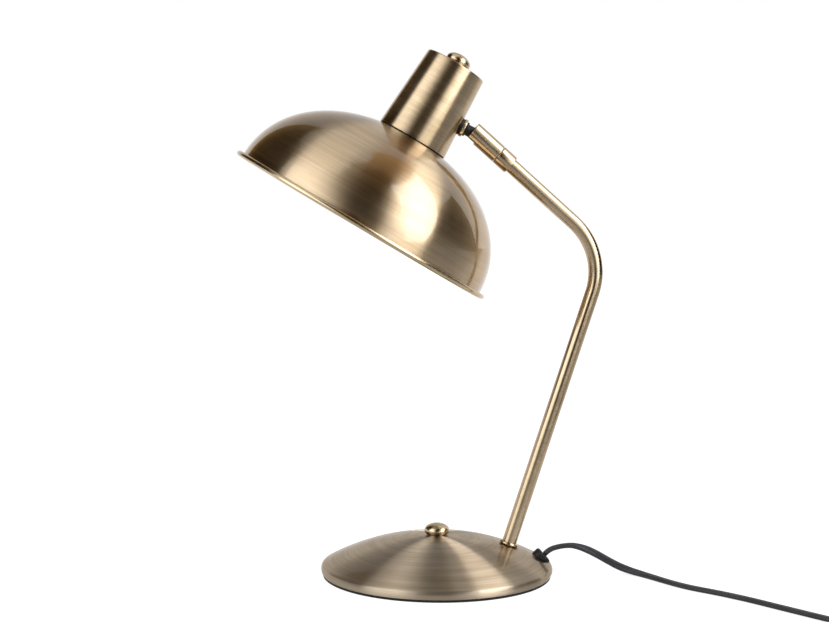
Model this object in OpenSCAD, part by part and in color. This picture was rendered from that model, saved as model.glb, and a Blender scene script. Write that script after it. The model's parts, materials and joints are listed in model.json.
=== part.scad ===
// Table lamp: a domed weighted base, a bent tube arm, a slotted ball joint, and a spun shade
// with a tapered cover over its lampholder. A flat mains lead leaves the base beside the arm.
// Millimetres. +Z is up, the origin is the middle of the foot pad's underside, and the arm,
// the joint and the head lie in the XZ plane, with the arm on the +X side.

/* [Base] */
// Outside diameter of the base
base_d = 160; // [150:1:175]
// Height of the cover's crown above the table
base_h = 28; // [26:0.5:32]
// Height of the crease between the crown and the edge band
crease_h = 7.6; // [7:0.1:9]
// Radius of the edge band's bulge
edge_r = 5; // [4.5:0.1:6]
// Thickness of the cover's sheet metal
cover_t = 1; // [0.8:0.1:1.2]
// Thickness of the foam pad under the base
pad_t = 1.8; // [1.6:0.1:2.5]
// Thickness of the base plate
plate_t = 1; // [0.8:0.1:1.5]
// Diameter of the iron weight
weight_d = 132; // [110:1:136]
// Thickness of the iron weight
weight_t = 9; // [6:0.5:9.5]
// Diameter of the bolt through the base
bolt_d = 6; // [5:0.5:8]
// Diameter of the round knobs on the base and on the cap
knob_d = 17.4; // [16:0.2:20]
// Height of the round knobs
knob_h = 8; // [7.5:0.5:10]

/* [Arm] */
// Distance of the arm's foot from the middle of the base
foot_x = 50; // [44:1:54]
// Diameter of the arm tube
arm_d = 10; // [9:0.5:11]
// Wall of the arm tube
arm_wall = 1; // [0.8:0.1:1.2]
// Straight length between the base and the bend
arm_low_len = 184; // [150:1:220]
// Radius of the bend at the tube's centre line
arm_bend_r = 46; // [35:1:60]
// Angle that the bend turns
arm_turn = 66.3; // [55:0.1:75]
// Straight length between the bend and the joint
arm_up_len = 59; // [50:1:80]
// Length of tube inside the base
arm_tail = 9; // [8:0.5:10]
// Length of tube inside the coupling
arm_entry = 8; // [6:0.5:8]

/* [Ball joint] */
// Diameter of the joint's barrel
joint_d = 13.2; // [13:0.1:15]
// Length of the fixed half of the barrel
coupling_len = 11; // [11:0.5:16]
// Length of the turning half of the barrel
socket_len = 23.7; // [22:0.1:28]
// Diameter of the ball
ball_d = 10.4; // [10:0.1:10.8]
// Distance of the ball's centre from the barrel's mouth
ball_inset = 5.2; // [4.8:0.1:5.6]
// Diameter of the stud's neck
neck_d = 7.8; // [7:0.1:8.2]
// Length from the ball's centre to the stud's collar
neck_len = 9.1; // [8.8:0.1:11]
// Diameter of the hollow bush that the barrel turns on
bush_d = 7; // [6.5:0.1:7.2]
// Angle between the barrel and the stud as the lamp is set
stud_bend = 14.6; // [5:0.1:30]
// Diameter of the bright ring between the stud and the cap
ring_d = 12.6; // [12:0.1:14]
// Thickness of the bright ring
ring_t = 2.2; // [1.8:0.1:2.6]

/* [Cap] */
// Diameter of the cap where it stands on the shade
cap_low_d = 50.4; // [48:0.2:54]
// Diameter of the cap's closed end
cap_top_d = 43; // [40:0.2:46]
// Height of the cap
cap_h = 58.8; // [57:0.2:64]
// Thickness of the cap's sheet metal
cap_t = 1; // [0.8:0.1:1.2]
// Height of the stud above the shade
stud_h = 25; // [22:0.5:28]

/* [Shade] */
// Diameter over the rolled rim
shade_d = 194.4; // [180:0.2:210]
// Height from the rim to the cap
shade_h = 69; // [64:0.5:76]
// Squareness of the shade's outline, where 2 is an ellipse
shade_power = 2.15; // [2:0.05:2.4]
// Thickness of the shade's sheet metal
shade_t = 0.8; // [0.6:0.1:1]
// Thickness of the rolled rim
rim_d = 3.8; // [3.4:0.1:4.4]
// How far the rolled rim stands out from the shade
rim_out = 4.2; // [3.8:0.1:5]

/* [Lampholder and bulb] */
// Diameter of the lampholder's threaded skirt
holder_d = 26.8; // [26:0.2:28]
// Length of the lampholder
holder_len = 58; // [57:0.5:60]
// Depth of the lampholder below the shade's top
holder_drop = 8; // [7:0.5:9]
// Diameter of the bulb's screw cap
screw_d = 13.8; // [13.6:0.1:14]
// Diameter of the bulb's glass
bulb_d = 45; // [40:0.5:50]
// Length of the bulb with its cap
bulb_len = 78; // [74:0.5:82]

/* [Lead] */
// Width of the flat lead
lead_w = 5.2; // [5:0.1:5.6]
// Thickness of the flat lead
lead_t = 3.2; // [3:0.1:3.4]
// Distance of the cord grip from the middle of the base
grip_x = 72.4; // [70:0.1:73]
// Diameter of the cord grip's head
grip_d = 12.8; // [11.6:0.1:13.4]
// Length of the switch on the lead
switch_len = 60; // [56:1:66]
// Width of the switch
switch_w = 24; // [22:0.5:28]
// Height of the switch
switch_h = 16; // [15:0.5:18]
// Length of the plug's pins
pin_len = 19; // [18.5:0.1:19.5]
// Diameter of the plug's pins
pin_d = 4; // [3.9:0.01:4.1]
// Distance between the plug's pins
pin_gap = 18.6; // [18:0.1:19]

/* [Hidden] */
$fn = 96;

// Clearance between pieces that are fixed together
fit_gap = 0.05;
// Radial clearance of a piece that turns
run_gap = 0.05;
// Gap at the seam between faces that turn past each other
seam_gap = 0.3;
// Overshoot of a cut past a face
past = 1;

// Base: the edge band is an arc, and the crown is part of a sphere that starts at the crease
edge_z = (crease_h + pad_t) / 2;
edge_x = base_d / 2 - edge_r;
crease_r = edge_x + sqrt(edge_r * edge_r - (crease_h - edge_z) * (crease_h - edge_z));
crown_h = base_h - crease_h;
crown_r = (crease_r * crease_r + crown_h * crown_h) / (2 * crown_h);
crown_z = base_h - crown_r;
plate_top = pad_t + plate_t;
weight_top = plate_top + weight_t;
nut_t = 5;
bolt_head_d = 14;
bolt_head_t = 1.4;
notch_x = 34;
notch_w = 32;
knob_waist = knob_h * 3 / 8;
knob_seat_d = 12.4;
knob_bore_h = 5;

// Arm
bend_thin = 0.04;
bend_overlap = 0.3;
arm_nut_af = 14;
arm_nut_t = 3;
washer_d = 17;
washer_t = 1;
ring_wire_d = 2.1;
core_d = 4;
core_bend_r = 4.6;
core_end_x = 67.2;

// Joint: distances along the barrel start at the coupling's lower end
floor_t = 3;
socket_z = coupling_len + seam_gap;
ball_z = socket_len - ball_inset;
mouth_d = neck_d + 0.8;
slot_w = neck_d + 0.6;
slot_drop = 1;
bush_bore_d = 5;
bush_flange_d = 9.6;
bush_flange_t = 1.2;
chamfer = 0.4;
seat_low = 6.5;
seat_high = 2;
spring_d = 9.4;
spring_bore_d = 7.4;
collar_d = 10;
collar_t = 1.5;
shank_d = 8;
stud_bore_d = 4.6;
stud_tail = 5.6;
saddle_d = 11.6;
saddle_t = 1;
turn_gap = 0.1;
stud_nut_af = 12;
stud_nut_t = 3;
stud_reach = neck_len + collar_t + ring_t + turn_gap + saddle_t;

// Head: its origin is the middle of the seam between the cap and the shade
cap_taper = atan((cap_low_d - cap_top_d) / 2 / cap_h);
cap_corner_r = 1.2;
stud_r = cap_r(stud_h);
nipple_d = 10;
nipple_bore_d = 6.8;
nipple_nut_af = 14;
nipple_nut_t = 3;
holder_top = holder_len - holder_drop;
holder_neck_d = 15;
holder_neck_h = 6;
holder_body_d = 25;
holder_body_h = 22;
holder_collar_d = 34;
holder_collar_t = 2;
holder_bore_top = 26;
holder_mouth_d = 22.6;
shell_wall = 0.4;
contact_t = 0.8;
shade_ring_d = 39;
shade_ring_h = 6;
shade_hole_d = holder_d + 1;
shade_r = shade_d / 2 - rim_out;
shade_peak = shade_h / pow(1 - pow(cap_low_d / 2 / shade_r, shade_power), 1 / shade_power);
bulb_top = holder_bore_top - contact_t - 0.2;
pip_h = 3;
screw_len = 22;
glass_t = 0.8;
head_lead_d = 2.8;
riser_in = 9.2;

// Lead, in millimetres on the table: the stretch from the cord grip to the switch, then the
// stretch from the switch to the coil, and the stretch from the coil to the plug
front_route = [
    [75.5, 0, 13.1], [77.9, 0, 15.2], [80.7, 0, 16.8], [84.7, -0.1, 18], [89.3, -0.3, 18.8],
    [94.5, -0.7, 19], [100, -1.3, 18], [106, -2.2, 15.9], [112.5, -3.5, 12.8], [119.5, -5.3, 9],
    [126.5, -7.6, 5.6], [133.5, -10.7, 3.1], [140.5, -16.5, 1.9], [147, -26, 1.7],
    [154.5, -38.5, 1.7], [163, -51, 1.7],
    [183, -72, 1.7], [193, -83.5, 1.7], [213, -110.3, 1.7], [233, -137, 1.7], [242, -148, 1.7], [251, -156, 2.2], [260, -160.7, 3.6],
    [268, -162.2, 5.6], [275, -162.5, 6.5], [280.5, -162.5, 6.5],
];
link_route = [
    [331.5, -162.5, 6.5], [337, -162.5, 6.5], [345, -161.3, 6.3], [352.5, -157.4, 5.6], [359, -150.4, 4.8],
    [363.8, -140, 4.1], [366, -128, 3.7], [366.5, -117, 3.7], [366.5, -107.2, 3.7],
];
tail_route = [
    [366.5, -96.8, 9.4], [366.5, -88, 9.2], [366.5, -78, 8.3], [366.5, -68, 7.4],
    [366.5, -52, 6.8],
];
coil_x = 331.8;
coil_y = -102;
coil_z = 3.7;
coil_r = 34.7;
coil_turns = 8;
coil_side_gap = 0.65;
coil_layer = lead_w + 0.5;
coil_steps = 24;
coil_sides = 6;
route_sides = 8;
tie_t = 0.8;
tie_w = 5;
tie_slack = 0.3;

// Cord grip, switch and plug
grip_tip = 22;
grip_sink = 1.6;
grip_top = 4.9;
grip_edge_r = 1.6;
grip_t = 4;
grip_seat = 0.6;
grip_notch_d = 2.4;
grip_shank_d = 10.4;
grip_shank_len = 5.5;
grip_snap = 0.8;
switch_x = 306;
switch_y = -162.5;
switch_split = 6.5;
switch_wall = 1.6;
switch_end_d = 11;
rocker_len = 17;
rocker_w = 9;
rocker_tilt = 7;
rocker_gap = 0.5;
screw_y = 9;
screw_hole_d = 2.2;
screw_shank_d = 2;
screw_grip = 5;
switch_bevel = 1.4;
cavity_len = 34;
cavity_w = 12;
lead_slack = 0.15;
plug_x = 366.5;
plug_y = -52;
plug_z = 6.8;
relief_len = 24;
plug_len = 34;
plug_w = 35;
plug_t = 13.4;
pin_seat = 8;

function cap_r(h) = cap_low_d / 2 - (cap_low_d - cap_top_d) / 2 * h / cap_h;
function crown_height(r) = crown_z + sqrt(crown_r * crown_r - r * r);
function crown_lean(r) = asin(r / crown_r);
function shade_rise(r, inset) = (shade_peak - inset)
    * pow(max(0, 1 - pow(r / (shade_r - inset), shade_power)), 1 / shade_power);
function unit(v) = v / norm(v);
function backward(list) = [for (i = [len(list) - 1:-1:0]) list[i]];

// Frames: each moves its children to the named place
module at_crown(r) {
    translate([r, 0, crown_height(r)]) rotate([0, crown_lean(r), 0]) children();
}

module past_bend() {
    translate([-arm_bend_r, 0, arm_low_len]) rotate([0, -arm_turn, 0])
        translate([arm_bend_r, 0, 0]) children();
}

module at_coupling() {
    at_crown(foot_x) past_bend() translate([0, 0, arm_up_len]) children();
}

module at_socket() {
    at_coupling() translate([0, 0, socket_z]) children();
}

module at_ball() {
    at_socket() translate([0, 0, ball_z]) rotate([0, -stud_bend, 0]) children();
}

module at_head() {
    at_ball() translate([0, 0, stud_reach]) rotate([0, 90 + cap_taper, 0])
        translate([-stud_r, 0, -stud_h]) children();
}

// The cap's wall where the stud goes through, with +Z outward
module at_wall() {
    at_head() stud_side() children();
}

module stud_side() {
    translate([stud_r, 0, stud_h]) rotate([0, 90 - cap_taper, 0]) children();
}

module hex(af, h) {
    cylinder(d = af / cos(30), h = h, $fn = 6);
}

module ring(d, bore, h) {
    difference() {
        cylinder(d = d, h = h);
        translate([0, 0, -past]) cylinder(d = bore, h = h + 2 * past);
    }
}

// A round bar with its end edges taken off
module barrel(d, h) {
    rotate_extrude() polygon([
        [0, 0], [d / 2 - chamfer, 0], [d / 2, chamfer], [d / 2, h - chamfer],
        [d / 2 - chamfer, h], [0, h],
    ]);
}

// A knob with a flattened ball's outline, drawn in at its seat
module knob(bore) {
    crown = [for (i = [0:12]) let (a = 90 * i / 12)
        [knob_d / 2 * cos(a), knob_waist + (knob_h - knob_waist) * sin(a)]];
    under = [for (i = [0:7]) let (a = 90 * i / 8)
        [knob_seat_d / 2 + (knob_d - knob_seat_d) / 2 * sin(a), knob_waist * (1 - cos(a))]];
    difference() {
        rotate_extrude() polygon(concat([[0, 0]], under, crown));
        translate([0, 0, -past]) cylinder(d = bore, h = knob_bore_h + past);
    }
}

// Base
module crown_2d(inset) {
    intersection() {
        translate([0, crown_z]) circle(r = crown_r - inset, $fn = 720);
        translate([0, crease_h]) square([crease_r, crown_h + past]);
    }
}

module band_2d(inset) {
    intersection() {
        translate([edge_x, edge_z]) circle(r = edge_r - inset, $fn = 120);
        translate([edge_x, pad_t - (inset > 0 ? past : 0)])
            square([edge_r + past, crease_h - pad_t + (inset > 0 ? 2 * past : 0)]);
    }
}

module base_cover() {
    color("#b5a184") difference() {
        union() {
            rotate_extrude() difference() {
                crown_2d(0);
                translate([0, crown_z]) circle(r = crown_r - cover_t, $fn = 720);
            }
            rotate_extrude() difference() {
                band_2d(0);
                translate([edge_x, edge_z]) circle(r = edge_r - cover_t, $fn = 120);
            }
        }
        cylinder(d = bolt_d + 2 * fit_gap, h = base_h + past);
        at_crown(foot_x) translate([0, 0, -cover_t - past])
            cylinder(d = arm_d + 2 * fit_gap, h = cover_t + 2 * past);
        at_crown(grip_x) translate([0, 0, -cover_t - past])
            cylinder(d = grip_shank_d + 2 * fit_gap, h = cover_t + 2 * past);
    }
}

module base_plate() {
    plate_r = edge_x + sqrt(pow(edge_r - cover_t, 2) - pow(edge_z - pad_t, 2)) - seam_gap;
    color("#6d6a66") translate([0, 0, pad_t]) ring(2 * plate_r, bolt_d + 2 * fit_gap, plate_t);
}

module base_weight() {
    color("#4a4a4c") translate([0, 0, plate_top]) difference() {
        ring(weight_d, bolt_d + 2 * fit_gap, weight_t);
        translate([notch_x, -notch_w / 2, -past]) cube([weight_d, notch_w, weight_t + 2 * past]);
    }
}

module foot_pad() {
    pad_d = 2 * (crease_r - seam_gap);
    color("#141414") difference() {
        cylinder(d = pad_d, h = pad_t);
        translate([0, 0, pad_t - bolt_head_t - fit_gap])
            cylinder(d = bolt_head_d + 1, h = pad_t);
    }
}

module base_bolt() {
    color("#8d8b87") {
        translate([0, 0, pad_t - bolt_head_t]) cylinder(d = bolt_head_d, h = bolt_head_t);
        translate([0, 0, pad_t])
            cylinder(d = bolt_d, h = base_h + knob_bore_h - seam_gap - pad_t);
    }
}

module base_nut() {
    color("#8d8b87") translate([0, 0, weight_top]) difference() {
        hex(bolt_d * 5 / 3, nut_t);
        translate([0, 0, -past]) cylinder(d = bolt_d + 2 * fit_gap, h = nut_t + 2 * past);
    }
}

module base_knob() {
    color("#c9a86a") translate([0, 0, base_h]) knob(bolt_d + 2 * fit_gap);
}

// Arm: a round bar along the tube's centre line, drawn in the frame of its foot
module arm_bar(d, below, beyond) {
    translate([0, 0, -below]) cylinder(d = d, h = arm_low_len + below + bend_overlap);
    translate([-arm_bend_r, 0, arm_low_len]) rotate([90, 0, 0])
        rotate_extrude(angle = arm_turn, $fn = 180)
            translate([arm_bend_r, 0]) circle(d = d - bend_thin);
    past_bend() translate([0, 0, -bend_overlap])
        cylinder(d = d, h = arm_up_len + beyond + bend_overlap);
}

module arm_tube() {
    color("#c3a877") at_crown(foot_x) difference() {
        arm_bar(arm_d, arm_tail, arm_entry);
        arm_bar(arm_d - 2 * arm_wall, arm_tail + past, arm_entry + past);
    }
}

module arm_ring() {
    wire_r = ring_wire_d / 2;
    color("#d8b878") at_crown(foot_x) translate([0, 0, wire_r]) rotate_extrude() difference() {
        translate([arm_d / 2 + wire_r * 0.6, 0]) circle(r = wire_r, $fn = 48);
        translate([0, -past - wire_r]) square([arm_d / 2 + fit_gap, ring_wire_d + 2 * past]);
    }
}

// The crown curves away below the washer, so its rim is what touches the sheet
washer_drop = cover_t + washer_d * washer_d / 8 / (crown_r - cover_t) + fit_gap;

module arm_washer() {
    color("#a5a39f") at_crown(foot_x) translate([0, 0, -washer_drop - washer_t])
        ring(washer_d, arm_d + 2 * fit_gap, washer_t);
}

module arm_nut() {
    color("#a5a39f") at_crown(foot_x)
        translate([0, 0, -washer_drop - washer_t - arm_nut_t]) difference() {
            hex(arm_nut_af, arm_nut_t);
            translate([0, 0, -past]) cylinder(d = arm_d + 2 * fit_gap, h = arm_nut_t + 2 * past);
        }
}

// The pair of cores inside the arm, drawn in the arm's plane from the cord grip's side: an
// elbow below the tube, the two straights and the bend between them
function ray(a) = [sin(a), cos(a), 0];
function around(middle, r, a) = middle + r * [cos(a), sin(a), 0];
foot_lean = crown_lean(foot_x);
foot_at = [foot_x, crown_height(foot_x), 0];
tail_at = foot_at - arm_tail * ray(foot_lean);
elbow_at = around(tail_at, core_bend_r, -foot_lean);
bend_at = around(foot_at + arm_low_len * ray(foot_lean), -arm_bend_r, -foot_lean);
bush_top = socket_z + floor_t + turn_gap + bush_flange_t;
core_route = concat(
    [[core_end_x, elbow_at[1] - core_bend_r, 0]],
    [for (i = [0:6]) around(elbow_at, core_bend_r, 270 - (90 + foot_lean) * i / 6)],
    [for (i = [0:12]) around(bend_at, arm_bend_r, arm_turn * i / 12 - foot_lean)],
    [around(bend_at, arm_bend_r, arm_turn - foot_lean)
        + (arm_up_len + bush_top - seam_gap) * ray(foot_lean - arm_turn)]);

module arm_lead() {
    color("#222222") rotate([90, 0, 0]) sweep(core_route, core_d, core_d, 0, 0, route_sides);
}

// Joint
module arm_coupling() {
    color("#c9ab74") at_coupling() difference() {
        barrel(joint_d, coupling_len);
        translate([0, 0, -past])
            cylinder(d = arm_d + 2 * fit_gap, h = arm_entry + 2 * fit_gap + past);
        cylinder(d = bush_d + 2 * fit_gap, h = coupling_len + past);
    }
}

module swivel_bush() {
    foot = arm_entry + 3 * fit_gap;
    color("#b89a62") at_coupling() difference() {
        union() {
            translate([0, 0, foot]) cylinder(d = bush_d, h = bush_top - foot);
            translate([0, 0, bush_top - bush_flange_t])
                cylinder(d = bush_flange_d, h = bush_flange_t);
        }
        cylinder(d = bush_bore_d, h = bush_top + past);
    }
}

module swivel_socket() {
    seat_d = ball_d + 2 * run_gap;
    color("#c9ab74") at_socket() difference() {
        barrel(joint_d, socket_len);
        translate([0, 0, -past]) cylinder(d = bush_d + 2 * run_gap, h = floor_t + 2 * past);
        translate([0, 0, floor_t]) cylinder(d = seat_d, h = ball_z - floor_t);
        translate([0, 0, ball_z]) sphere(d = seat_d);
        translate([0, 0, ball_z]) cylinder(d = mouth_d, h = ball_inset + past);
        translate([-joint_d, -slot_w / 2, ball_z - slot_drop])
            cube([joint_d, slot_w, ball_inset + slot_drop + past]);
    }
}

module seat_spring() {
    low = floor_t + 2 * turn_gap + bush_flange_t;
    color("#9a9a9a") at_socket() translate([0, 0, low])
        ring(spring_d, spring_bore_d, ball_z - seat_low - low);
}

// The stretch of the cores between the bush and the ball
module joint_lead() {
    low = floor_t + turn_gap + bush_flange_t + seam_gap;
    color("#222222") at_socket() translate([0, 0, low])
        cylinder(d = core_d, h = ball_z - ball_d / 2 - seam_gap - low);
}

module ball_seat() {
    color("#e8e6df") at_socket() difference() {
        translate([0, 0, ball_z - seat_low])
            cylinder(d = ball_d - 2 * run_gap, h = seat_low - seat_high);
        translate([0, 0, ball_z]) sphere(d = ball_d + 2 * run_gap);
        translate([0, 0, ball_z - seat_low - past])
            cylinder(d = bush_bore_d, h = seat_low + past);
    }
}

module ball_stud() {
    collar_z = neck_len;
    color("#17181a") at_ball() difference() {
        union() {
            sphere(d = ball_d);
            cylinder(d = neck_d, h = neck_len + past);
            translate([0, 0, collar_z]) cylinder(d = collar_d, h = collar_t);
            translate([0, 0, collar_z]) cylinder(d = shank_d, h = stud_reach + stud_tail - collar_z);
        }
        translate([0, 0, -ball_d]) cylinder(d = stud_bore_d, h = stud_reach + 3 * ball_d);
    }
}

module stud_ring() {
    color("#dcbf86") at_ball() translate([0, 0, neck_len + collar_t]) difference() {
        barrel(ring_d, ring_t);
        translate([0, 0, -past]) cylinder(d = shank_d + 2 * fit_gap, h = ring_t + 2 * past);
    }
}

// A saddle that fills the space between the flat ring and the round cap
module stud_washer() {
    color("#2a2723") difference() {
        at_wall() translate([0, 0, -saddle_t]) ring(saddle_d, shank_d + 2 * run_gap, 2 * saddle_t);
        at_head() cylinder(r1 = cap_low_d / 2, r2 = cap_top_d / 2, h = cap_h);
    }
}

// The nut's corners are what touch the cap's round inner wall
module stud_nut() {
    inner_r = stud_r - cap_t;
    corner_r = stud_nut_af / 2 / cos(30);
    drop = cap_t + inner_r - sqrt(inner_r * inner_r - corner_r * corner_r) + fit_gap;
    color("#a5a39f") at_wall() translate([0, 0, -drop - stud_nut_t]) difference() {
        hex(stud_nut_af, stud_nut_t);
        translate([0, 0, -past]) cylinder(d = shank_d + 2 * run_gap, h = stud_nut_t + 2 * past);
    }
}

// Cap
module head_cap() {
    corner = [for (i = [0:4]) let (a = 90 - (90 - cap_taper) * i / 4)
        [cap_top_d / 2 - cap_corner_r * (1 - cos(a)) , cap_h - cap_corner_r * (1 - sin(a))]];
    color("#bfa985") at_head() difference() {
        rotate_extrude() polygon(concat(
            [[nipple_d / 2 + fit_gap, cap_h]], corner,
            [[cap_low_d / 2, 0], [cap_low_d / 2 - cap_t, 0],
             [cap_top_d / 2 - cap_t, cap_h - cap_t], [nipple_d / 2 + fit_gap, cap_h - cap_t]]));
        stud_side() translate([0, 0, -cap_t * 4])
            cylinder(d = shank_d + 2 * run_gap, h = cap_t * 8);
    }
}

module cap_knob() {
    color("#c9a86a") at_head() translate([0, 0, cap_h]) knob(nipple_d + 2 * fit_gap);
}

module cap_nipple() {
    low = holder_top - holder_neck_h;
    color("#b89a62") at_head() translate([0, 0, low])
        ring(nipple_d, nipple_bore_d, cap_h + knob_bore_h - seam_gap - low);
}

module nipple_nut() {
    color("#a5a39f") at_head() translate([0, 0, cap_h - cap_t - nipple_nut_t]) difference() {
        hex(nipple_nut_af, nipple_nut_t);
        translate([0, 0, -past])
            cylinder(d = nipple_d + 2 * fit_gap, h = nipple_nut_t + 2 * past);
    }
}

// The pair of cores from the stud's bore, up a riser and in to the lampholder's terminals
function on_stud(d) = [stud_r + d, 0, stud_h + d * tan(cap_taper)];
riser_x = stud_r - riser_in;
shoulder = holder_top - holder_neck_h;
head_lead_route = [
    on_stud(stud_tail * 1.5), on_stud(0), on_stud(-stud_tail),
    [riser_x + head_lead_d * 0.5, 0, stud_h + head_lead_d * 0.05],
    [riser_x + head_lead_d * 0.1, 0, stud_h + head_lead_d * 0.6],
    [riser_x, 0, stud_h + head_lead_d * 1.4], [riser_x, 0, shoulder - head_lead_d * 0.3],
    [riser_x - head_lead_d * 0.2, 0, shoulder + head_lead_d * 0.3],
    [riser_x - head_lead_d * 0.8, 0, shoulder + head_lead_d],
    [holder_neck_d / 2 + head_lead_d * 0.8, 0, shoulder + head_lead_d * 1.3],
    [holder_neck_d / 2 + seam_gap, 0, shoulder + head_lead_d * 1.3],
];

module head_lead() {
    color("#d9d4c8") at_head() sweep(head_lead_route, head_lead_d, head_lead_d, 0, 0, route_sides);
}

// Lampholder
module lampholder() {
    color("#efeae0") at_head() difference() {
        union() {
            translate([0, 0, -holder_drop])
                cylinder(d = holder_d, h = holder_drop + holder_bore_top);
            cylinder(d = holder_collar_d, h = holder_collar_t);
            translate([0, 0, holder_collar_t])
                cylinder(d = holder_body_d, h = holder_top - holder_neck_h - holder_collar_t);
            translate([0, 0, holder_collar_t]) cylinder(d = holder_neck_d, h = holder_top - holder_collar_t);
        }
        translate([0, 0, -holder_drop - past])
            cylinder(d = shell_d + 2 * fit_gap, h = holder_drop + holder_bore_top + past);
        translate([0, 0, -holder_drop - past])
            cylinder(d = holder_mouth_d, h = holder_drop + past + 1.5);
        translate([0, 0, holder_top - holder_neck_h - fit_gap])
            cylinder(d = nipple_d + 2 * fit_gap, h = holder_neck_h + past);
        translate([0, 0, holder_bore_top]) cylinder(d = nipple_bore_d, h = holder_len);
    }
}

shell_d = screw_d + 2 * 0.2 + 2 * shell_wall;

module holder_shell() {
    color("#c8a45c") at_head() translate([0, 0, holder_collar_t])
        ring(shell_d, shell_d - 2 * shell_wall, holder_bore_top - 2 - holder_collar_t);
}

module holder_contact() {
    color("#c8a45c") at_head() translate([0, 0, holder_bore_top - contact_t]) ring(11, 3, contact_t);
}

module shade_ring() {
    color("#efeae0") at_head() translate([0, 0, -shade_t - shade_ring_h - fit_gap])
        ring(shade_ring_d, holder_d + 2 * fit_gap, shade_ring_h);
}

// Shade: a squared ellipse turned about the head's axis, with a rolled bead at the rim
module shade() {
    steps = 30;
    rim_r = rim_d / 2;
    seam = cap_low_d / 2;
    lip = shade_r * 0.999;
    outer = [for (i = [0:steps]) let (a = 90 * i / steps, r = seam + (lip - seam) * sin(a))
        [r, shade_rise(r, 0) - shade_h]];
    inner = [for (i = [0:steps]) let (a = 90 * i / steps, r = seam + (lip - shade_t - seam) * sin(a))
        [r, min(shade_rise(r, shade_t), shade_h - shade_t) - shade_h]];
    bead = [for (i = [0:18]) let (a = 120 - 15 * i)
        [shade_d / 2 - rim_r + rim_r * cos(a), -shade_h + rim_r + rim_r * sin(a)]];
    color("#b3a084") at_head() rotate_extrude($fn = 180) polygon(concat(
        [[shade_hole_d / 2, -shade_t], [shade_hole_d / 2, 0]], outer, bead,
        [[lip - shade_t, -shade_h + rim_r / 2]], backward(inner)));
}

// Bulb: a ball of glass that narrows to its screw cap
module bulb_glass() {
    tip = bulb_top - bulb_len;
    middle = tip + bulb_d / 2;
    neck_r = screw_d / 2 + 0.6;
    neck_z = bulb_top - pip_h - screw_len - 1;
    stop = 58;
    outer = [for (i = [0:20]) let (a = -90 + (90 + stop) * i / 20)
        [bulb_d / 2 * cos(a), middle + bulb_d / 2 * sin(a)]];
    inner = [for (i = [0:20]) let (a = -90 + (90 + stop) * i / 20)
        [(bulb_d / 2 - glass_t) * cos(a), middle + (bulb_d / 2 - glass_t) * sin(a)]];
    color("#f4f1ea") at_head() rotate_extrude() polygon(concat(
        outer, [[neck_r, neck_z]],
        [[neck_r - glass_t, neck_z]], backward(inner)));
}

module bulb_cap() {
    low = bulb_top - pip_h - screw_len;
    color("#b9b7b2") at_head() translate([0, 0, low - 1]) difference() {
        union() {
            cylinder(d = screw_d + 1.2, h = 1);
            cylinder(d = screw_d, h = screw_len + 1);
        }
        translate([0, 0, -past]) cylinder(d = screw_d - 1, h = screw_len + 1 - 0.6 + past);
    }
}

module bulb_contact() {
    color("#2b2b2b") at_head() translate([0, 0, bulb_top - pip_h])
        cylinder(d1 = screw_d * 0.62, d2 = screw_d * 0.3, h = pip_h);
}

// Lead: a tube of an oval section swept along a list of points. The section turns from the
// first twist angle to the last, where 0 lies flat and 90 stands on edge.
function route_dir(p, i) = unit(p[min(i + 1, len(p) - 1)] - p[max(i - 1, 0)]);
function section_dir(d, lift) = let (side = unit(cross([0, 0, 1], d)), top = cross(d, side))
    [cos(lift) * side + sin(lift) * top, cos(lift) * top - sin(lift) * side];
function sections(p, w, t, first, last, sides) = [
    for (i = [0:len(p) - 1])
        let (d = route_dir(p, i), lift = first + (last - first) * i / (len(p) - 1),
             s = section_dir(d, lift))
        for (k = [0:sides - 1]) let (a = 360 * (k + 0.5) / sides)
            p[i] + (w / 2 * cos(a) * s[0] + t / 2 * sin(a) * s[1]) / cos(180 / sides)
];
function skin(rings, sides) = concat(
    [for (i = [0:rings - 2]) for (k = [0:sides - 1]) let (n = (k + 1) % sides)
        each [[i * sides + k, i * sides + n, (i + 1) * sides + k],
              [i * sides + n, (i + 1) * sides + n, (i + 1) * sides + k]]],
    [for (k = [1:sides - 2]) [0, k + 1, k]],
    [for (k = [1:sides - 2]) let (b = (rings - 1) * sides) [b, b + k, b + k + 1]]);

module sweep(p, w, t, first, last, sides) {
    polyhedron(sections(p, w, t, first, last, sides), skin(len(p), sides));
}

function route_len(p) = len(p) < 2 ? 0 : [for (i = 0, s = 0; i < len(p);
    s = s + (i + 1 < len(p) ? norm(p[i + 1] - p[i]) : 0), i = i + 1) s][len(p) - 1];

// Coil: the loops spiral in on the table and out again on top, and climb in the half turn
// between, so that the lead comes in and goes out at the same side
function coil_at(turn) = let (
    in = min(turn, coil_turns - turn),
    r = coil_r - (lead_t + coil_side_gap) * in,
    climb = min(1, max(0, (turn - coil_turns / 2 + 0.25) / 0.5)))
    [coil_x + r * cos(360 * turn), coil_y + r * sin(360 * turn), coil_z + coil_layer * climb];
coil_route = concat(
    [[coil_x + coil_r, coil_y - lead_w, coil_z]],
    [for (i = [0:coil_turns * coil_steps]) coil_at(i / coil_steps)],
    [[coil_x + coil_r, coil_y + lead_w, coil_z + coil_layer]]);

// The least gap between loops, where the section is a stadium that stands on edge
coil_points = [for (i = [0:coil_turns * coil_steps]) coil_at(i / coil_steps)];
coil_gap = min([for (i = [0:len(coil_points) - 1], j = [i + coil_steps / 2:len(coil_points) - 1])
    let (v = coil_points[j] - coil_points[i], rise = max(0, abs(v[2]) - (lead_w - lead_t)))
        norm([v[0], v[1], rise]) - lead_t]);
echo(coil_gap = coil_gap);
echo(front = route_len(front_route), link = route_len(link_route),
     coil = route_len(coil_route), tail = route_len(tail_route));

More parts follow.
